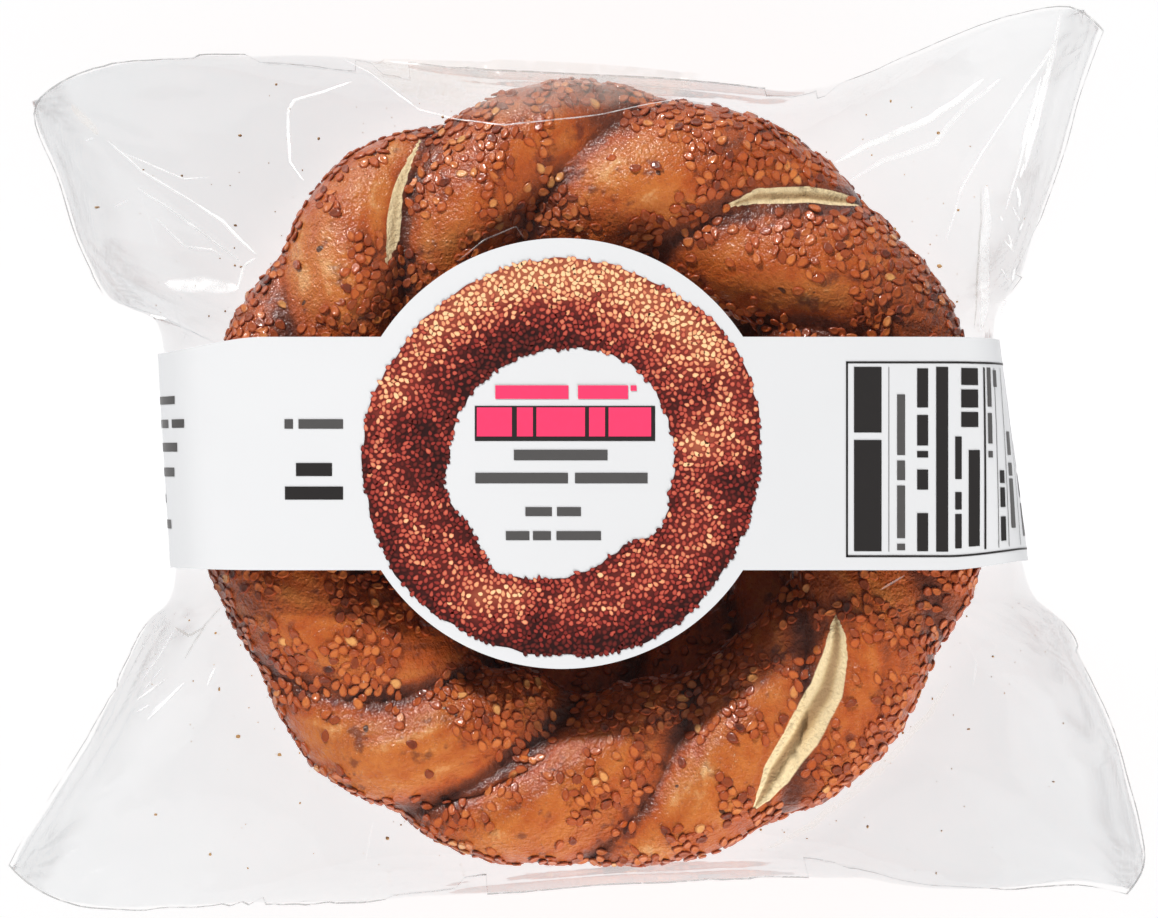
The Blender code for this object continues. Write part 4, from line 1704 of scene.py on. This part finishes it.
    def build_bars(self) -> list[bpy.types.Object]:
        """Makes one piece for the bars of each ink."""
        pieces = []
        for ink in Ink:
            points, faces = [], []
            lift = self.thickness + self.ink_lift * (2 if ink is Ink.PINK else 1)
            for bar in (b for b in self.bars() if b.ink is ink):
                rows = max(1, math.ceil((bar.end - bar.start) / self.bar_step)) + 1
                columns = max(1, math.ceil((bar.high - bar.low) / self.bar_step_up)) + 1
                faces += open_grid(rows, columns, len(points))
                points += [self.section(run, y, lift) for run in np.linspace(bar.start, bar.end, rows)
                           for y in np.linspace(bar.low, bar.high, columns)]
            name = f"print_{ink.name.lower()}"
            pieces.append(mesh_piece(name, np.array(points), faces, ink.value.material()))
        return pieces

    def build_ring_picture(self, seeds: bpy.types.Material) -> list[bpy.types.Object]:
        """Makes the printed ring: a brown field with a wavy edge, strewn with flat seed shapes.

        Args:
            seeds: the finish of the seed shapes.

        Returns:
            The field and its seeds.
        """
        lift = self.thickness + self.ink_lift
        steps, rows = 360, 13
        points, shade = [], []
        for angle in np.arange(steps) * 360 / steps:
            inner, outer = self.picture_edges(float(angle))
            for share in np.linspace(0, 1, rows):
                radius, turn = inner + (outer - inner) * share, math.radians(angle)
                points.append(self.section(
                    self.centre_x + radius * math.cos(turn), self.centre_y + radius * math.sin(turn), lift))
                shade.append(self.picture_light(float(angle), float(share)))
        faces = grid_faces(steps, rows, close_columns=False)[:, ::-1]
        field_piece = mesh_piece("print_ring_field", np.array(points), faces, PictureFinish().material())
        paint(field_piece, "shade", np.clip(shade, 0, 1))
        return [field_piece, self.picture_seeds(seeds, lift + self.ink_lift)]

    def picture_edges(self, angle: float) -> tuple[float, float]:
        """Gives the printed ring's inner and outer radius at an angle."""
        marks = np.array([*self.ring_marks, (360.0, *self.ring_marks[0][1:])])
        inner, outer = (float(np.interp(angle % 360, marks[:, 0], marks[:, k])) / 1000 for k in (1, 2))
        turn = math.radians(angle)
        ruffle = 0.00016 * math.sin(23 * turn) + 0.00012 * math.sin(41 * turn + 1.3)
        return inner + ruffle, outer - ruffle

    def picture_light(self, angle: float, share: float) -> float:
        """Shades the printed ring with soft lights and darks, from 0 to 1.

        Args:
            angle: the angle round the disc.
            share: 0 at the ring's inner edge, 1 at its outer edge.

        Returns:
            How light it is there.
        """
        total = 0.42 - 0.24 * (2 * share - 1) ** 4
        for at, out, wide, deep, amount in self.ring_light:
            turned = (angle - at + 180) % 360 - 180
            total += self.light_gain * amount * math.exp(-((turned / wide) ** 2) - ((share - out) / deep) ** 2)
        return total

    def picture_seeds(self, finish: bpy.types.Material, lift: float) -> bpy.types.Object:
        """Strews flat seed shapes, pale in the middle and dark at the border, over the printed ring.

        Args:
            finish: their material.
            lift: their height above the sleeve's inner side.

        Returns:
            The joined seed shapes.
        """
        dice = np.random.default_rng(12)
        points, faces, tones, cells = [], [], [], {}
        corners, spacing = self.seed_corners, self.seed_spacing
        for _ in range(self.seed_tries):
            angle = dice.uniform(0, 360)
            inner, outer = self.picture_edges(angle)
            radius = math.sqrt(mix(inner**2, outer**2, dice.uniform(0, 1)))
            share, turn = (radius - inner) / (outer - inner), math.radians(angle)
            x, y = radius * math.cos(turn), radius * math.sin(turn)
            light = self.picture_light(angle, share)
            smooth = math.exp(-(((angle + 175) % 360 - 179) / 5) ** 2 - ((share - 0.3) / 0.25) ** 2)
            smooth += math.exp(-((angle - 240) / 7) ** 2 - ((share - 0.45) / 0.35) ** 2)
            cell = (int(x // spacing), int(y // spacing))
            near = [q for dx in (-1, 0, 1) for dy in (-1, 0, 1) for q in cells.get((cell[0] + dx, cell[1] + dy), ())]
            if dice.uniform() < 0.85 * smooth or any((x - p) ** 2 + (y - q) ** 2 < spacing**2 for p, q in near):
                continue
            cells.setdefault(cell, []).append((x, y))
            spin = dice.uniform(0, np.pi)
            long, wide = (size * dice.uniform(0.8, 1.2) for size in self.seed_size)
            start = len(points)
            tone = float(np.clip(light + self.seed_tone[0] + dice.normal(0, self.seed_tone[1]), 0.05, 1))
            for size, change in ((0.0, 0.08), (0.66, 0.02), (1.0, -0.34)):
                for k in range(corners if size else 1):
                    turned = math.tau * k / corners
                    u = long * size * math.cos(turned)
                    v = wide * size * math.sin(turned) * abs(math.sin(turned / 2)) ** 0.5 * 1.15
                    points.append(self.section(
                        self.centre_x + x + u * math.cos(spin) - v * math.sin(spin),
                        self.centre_y + y + u * math.sin(spin) + v * math.cos(spin), lift))
                    tones.append(max(0.0, tone + change))
            for k in range(corners):
                a, b = start + 1 + k, start + 1 + (k + 1) % corners
                faces += [(start, a, b), (a, a + corners, b + corners), (a, b + corners, b)]
        piece = mesh_piece("print_ring_seeds", np.array(points), faces, finish)
        paint(piece, "tone", np.clip(tones, 0, 1))
        return piece


@dataclass(frozen=True)
class PictureFinish:
    """The brown field of the printed ring, or its seed shapes."""

    name: str = "picture_field"
    value: str = "shade"
    stops: tuple[tuple[float, Colour], ...] = (
        (0.0, (0.022, 0.004, 0.004)),
        (0.35, (0.085, 0.011, 0.009)),
        (0.65, (0.210, 0.030, 0.020)),
        (1.0, (0.450, 0.130, 0.065)),
    )

    def material(self) -> bpy.types.Material:
        """Builds the printed browns."""
        make = Recipe(self.name)
        value = make.weighted(-0.12, [(make.attribute(self.value), 1.0), (make.noise(0.003, 3), 0.24)])
        colour = make.ramp(value, list(self.stops))
        return make.finish(make.shader("BsdfPrincipled", {"Base Color": colour, "Roughness": 0.42}))


SEED_PRINT = PictureFinish("picture_seeds", "tone", (
    (0.0, (0.040, 0.007, 0.006)),
    (0.30, (0.270, 0.028, 0.022)),
    (0.55, (0.520, 0.098, 0.060)),
    (0.80, (0.740, 0.340, 0.165)),
    (1.0, (0.880, 0.580, 0.310)),
))


@dataclass
class Stack:
    """The four bread rings, the top one with the splits and bare patches that show.

    The grooves are angles round the top ring, and the swell is how much fuller each of its strands is.
    """

    pitch: float = 0.0248
    first_height: float = 0.0136
    top_grooves: tuple[float, ...] = (-8, 27, 62, 97, 129, 160, 191, 227, 252, 283, 314)
    top_swell: tuple[float, ...] = (0.0, 0.0, 0.0, 0.0003, 0.0014, 0.0, 0.0, 0.0010, 0.0004, -0.0008, 0.0008)
    top_splits: tuple[Split, ...] = (
        Split(tenths(487, -268, 0, 488, -320, 18, 484, -360, 26, 468, -431, 34, 419, -522, 39, 371, -595, 32, 344,
                     -640, 18, 318, -676, 0, size=3),
              0.0014, 0.85),
        Split(tenths(255, 545, 0, 328, 569, 15, 429, 573, 18, 516, 563, 12, 556, 548, 0, size=3),
              0.001, 0.72),
        Split(tenths(-340, 713, 0, -371, 646, 5, -397, 575, 11, -404, 520, 14, -406, 480, 12, -421, 423, 0, size=3),
              0.0008, 0.3),
        Split(tenths(-91, -569, 0, -152, -595, 7, -227, -642, 9, -328, -666, 7, -395, -676, 0, size=3),
              0.0052, 0.0, False),
    )
    # Each patch's last number is its golden lift: partly the bare crust's own colour, partly a painted highlight on
    # lumps that face the light.
    top_patches: tuple[BarePatch, ...] = BarePatch.table(
        (-597, 439, 100, 1.0, 1.25), (-456, 575, 55, 0.85, 1.2), (-389, 666, 45, 0.9, 1.2),
        (-322, 484, 60, 0.9, 0.7), (-172, 727, 50, 0.7, 0.4), (10, 646, 90, 1.0, 0.75), (91, 626, 80, 0.95, 0.7),
        (-40, 666, 60, 0.8, 1.0), (132, 555, 50, 0.55, 0.9), (284, 403, 80, 0.95, 0.35), (375, 383, 80, 0.9, 0.4),
        (456, 362, 65, 0.8, 0.45), (354, 539, 30, 0.85, 0.5), (-456, -559, 105, 1.0, 0.85),
        (-344, -559, 95, 1.0, 0.75), (-253, -589, 65, 1.0, 0.5), (-527, -508, 75, 0.85, 0.9),
        (-192, -721, 80, 0.8, 0.75), (-71, -711, 85, 0.75, 0.7), (51, -691, 75, 0.6, 1.0),
        (192, -630, 90, 0.9, 1.25), (294, -569, 80, 0.95, 0.8), (91, -751, 70, 0.7, 1.3),
        (415, -326, 60, 0.95, 0.35), (354, -448, 60, 0.8, 0.5), (550, -367, 50, 1.0, 0.35),
        (545, -427, 42, 0.9, 0.5), (618, -225, 58, 0.85, 0.5), (-597, -245, 60, 0.7, 0.5),
        (-537, -306, 60, 0.65, 0.5), (-354, -407, 45, 0.6, 0.5), (-650, 100, 120, 0.8, 0.5), (640, 80, 100, 0.8, 0.5),
    )
    sag_step: float = 0.0020
    slim: float = 0.0020 / (2 * RopeRing.half_height)

    def lower_ring(self, level: int, dice: np.random.Generator) -> RopeRing:
        """Describes one of the rings below the top one.

        Args:
            level: how many rings lie under it.
            dice: the random numbers.

        Returns:
            The ring.
        """
        turn = float(dice.uniform(8, 28)) + 11 * level
        jitter = dice.uniform(-3, 3, 11)
        patches = []
        for angle in np.radians(np.arange(9) * 40 + dice.uniform(-12, 12, 9)):
            reach, away = dice.uniform(0.006, 0.013), dice.uniform(0.048, 0.072)
            patches.append(BarePatch(float(away * np.cos(angle)), float(away * np.sin(angle)), float(reach)))
        return RopeRing(
            f"bread_ring_{level + 1}",
            self.first_height + level * self.pitch,
            tuple(float(k * 360 / 11 + turn + jitter[k]) for k in range(11)),
            tuple(float(v) for v in dice.uniform(-0.0010, 0.0005, 11)),
            seed=100 + level,
            shift=(float(dice.uniform(-0.0006, 0.0006)), float(dice.uniform(-0.0005, 0.0005))),
            patches=tuple(patches),
            sag=level * self.sag_step,
            slim=self.slim,
            steps_along=360,
            steps_around=72,
        )

    def rings(self) -> list[RopeRing]:
        """Describes the rings from the lowest up."""
        dice = np.random.default_rng(77)
        made = [self.lower_ring(level, dice) for level in range(3)]
        made.append(RopeRing(
            "bread_ring_4", self.first_height + 3 * self.pitch, self.top_grooves, self.top_swell, seed=4,
            splits=self.top_splits, patches=self.top_patches, sag=3 * self.sag_step, slim=self.slim,
            mean_radius=0.0615, half_width=0.0189,
        ))
        return made

    def build(self) -> list[bpy.types.Object]:
        """Makes the rings and their seeds, and gives back the pieces that touch the film's top."""
        crust, skin = CrustFinish().material(), SeedFinish().material()
        rings = self.rings()
        built = [ring.build(crust) for ring in rings]
        plain = SeedShape(corners=7, detailed=False)
        coats = (
            SeedCoat("sesame_top", (rings[3],), 3600, SeedShape(), seed=9, hidden=False),
            SeedCoat("sesame_under", (rings[3],), 1900, plain, seed=11, hidden=True, spacing=0.0019),
            SeedCoat("sesame_below", tuple(rings[:3]), 5100, plain, seed=10, spacing=0.0019),
        )
        covered = [coat.build(skin) for coat in coats]
        return [built[3], covered[0]]


@dataclass(frozen=True)
class Sun:
    """A far light: its angle round from +X, its height as an angle, its power and its apparent size."""

    name: str
    azimuth: float
    elevation: float
    strength: float
    spread: float
    colour: Colour = (1.0, 0.985, 0.96)

    def build(self) -> None:
        """Adds the light."""
        light = bpy.data.lights.new(self.name, "SUN")
        light.energy, light.angle, light.color = self.strength, math.radians(self.spread), self.colour
        turn, rise = math.radians(self.azimuth), math.radians(self.elevation)
        towards = Vector((math.cos(turn) * math.cos(rise), math.sin(turn) * math.cos(rise), math.sin(rise)))
        sun = bpy.data.objects.new(self.name, light)
        sun.rotation_euler = towards.to_track_quat("Z", "Y").to_euler()
        bpy.context.scene.collection.objects.link(sun)

    def spare(self, piece: bpy.types.Object) -> None:
        """Leaves a piece out of what the light shines on."""
        name, linking = f"not_under_the_{self.name}", bpy.data.objects[self.name].light_linking
        spared = bpy.data.collections.get(name) or bpy.data.collections.new(name)
        spared.objects.link(piece)
        linking.receiver_collection = spared
        for entry in spared.collection_objects:
            entry.light_linking.link_state = "EXCLUDE"


@dataclass
class Studio:
    """The floor, the lights and the camera."""

    floor_size: float = 6.0
    floor_glow: float = 0.79
    camera_place: Triple = (-0.0032, 0.0040, 1.10)
    lens: float = 155.0
    key: Sun = Sun("key", 121.0, 34.0, 3.5, 6.0)
    fill: Sun = Sun("fill", -62.0, 21.0, 4.2, 40.0)
    sky_low: float = 0.33
    sky_high: float = 0.09

    def build_floor(self) -> bpy.types.Object:
        """Makes the pale floor, which glows a little so that it stays bright under the pack."""
        half = self.floor_size / 2
        low = CAD_BOX[0][2]
        corners = np.array([(-half, -half, low), (half, -half, low), (half, half, low), (-half, half, low)])
        make = Recipe("pale_floor")
        cover = make.shader("BsdfDiffuse", {"Color": (0.80, 0.80, 0.80, 1)})
        glow = make.shader("Emission", {"Color": (1, 1, 1, 1), "Strength": self.floor_glow})
        both = make.shader("AddShader", {0: cover, 1: glow})
        mesh = bpy.data.meshes.new("floor")
        mesh.from_pydata(corners.tolist(), [], [(0, 1, 2, 3)])
        mesh.materials.append(make.finish(both))
        floor = bpy.data.objects.new("floor", mesh)
        bpy.context.scene.collection.objects.link(floor)
        return floor

    def build_sky(self) -> bpy.types.World:
        """Makes the room: bright low down and dark straight above, as round a copy stand."""
        world = bpy.data.worlds.new("studio")
        world.use_nodes = True
        nodes, links = world.node_tree.nodes, world.node_tree.links
        direction = nodes.new("ShaderNodeTexCoord").outputs["Generated"]
        parts = nodes.new("ShaderNodeSeparateXYZ")
        height = nodes.new("ShaderNodeMapRange")
        height.interpolation_type = "SMOOTHSTEP"
        for name, value in (
            ("From Min", 0.80), ("From Max", 0.96), ("To Min", self.sky_low), ("To Max", self.sky_high),
        ):
            height.inputs[name].default_value = value
        links.new(direction, parts.inputs[0])
        links.new(parts.outputs["Z"], height.inputs["Value"])
        background = nodes["Background"]
        background.inputs["Color"].default_value = (0.97, 0.985, 1.0, 1.0)
        links.new(height.outputs["Result"], background.inputs["Strength"])
        return world

    def spare(self, piece: bpy.types.Object) -> None:
        """Leaves a piece out of what both suns shine on."""
        self.key.spare(piece)
        self.fill.spare(piece)

    def build(self) -> None:
        """Sets up the floor, the sky, the two suns and the camera."""
        scene = bpy.context.scene
        floor = self.build_floor()
        scene.world = self.build_sky()
        self.key.build()
        self.fill.build()
        bpy.data.objects[self.fill.name].visible_glossy = False
        self.spare(floor)
        camera = bpy.data.objects.new("camera", bpy.data.cameras.new("camera"))
        camera.data.lens = self.lens
        camera.data.clip_end = 20.0
        camera.location = self.camera_place
        scene.collection.objects.link(camera)
        scene.camera = camera
        scene.view_settings.view_transform = "Standard"


def main() -> None:
    """Builds every piece in order."""
    logging.basicConfig(level=logging.INFO, format="%(name)s: %(message)s")
    studio = Studio()
    studio.build()
    bread = Stack().build()
    LOG.info("built the rings and their seeds")
    film = ClearFilm().build(FilmFinish().material(), bread)
    studio.spare(film)
    LOG.info("built the film: %d faces", len(film.data.polygons))
    FoldSet().build(film)
    LooseBits().build(film, InkFinish("toasted_crumbs", (0.500, 0.290, 0.120), 0.6).material())
    LOG.info("dropped the loose crumbs")
    sleeve = PrintedSleeve()
    sleeve.build_sleeve()
    sleeve.build_bars()
    sleeve.build_ring_picture(SEED_PRINT.material())
    LOG.info("built the printed sleeve")
    bpy.context.view_layer.update()


if __name__ == "__main__":
    main()
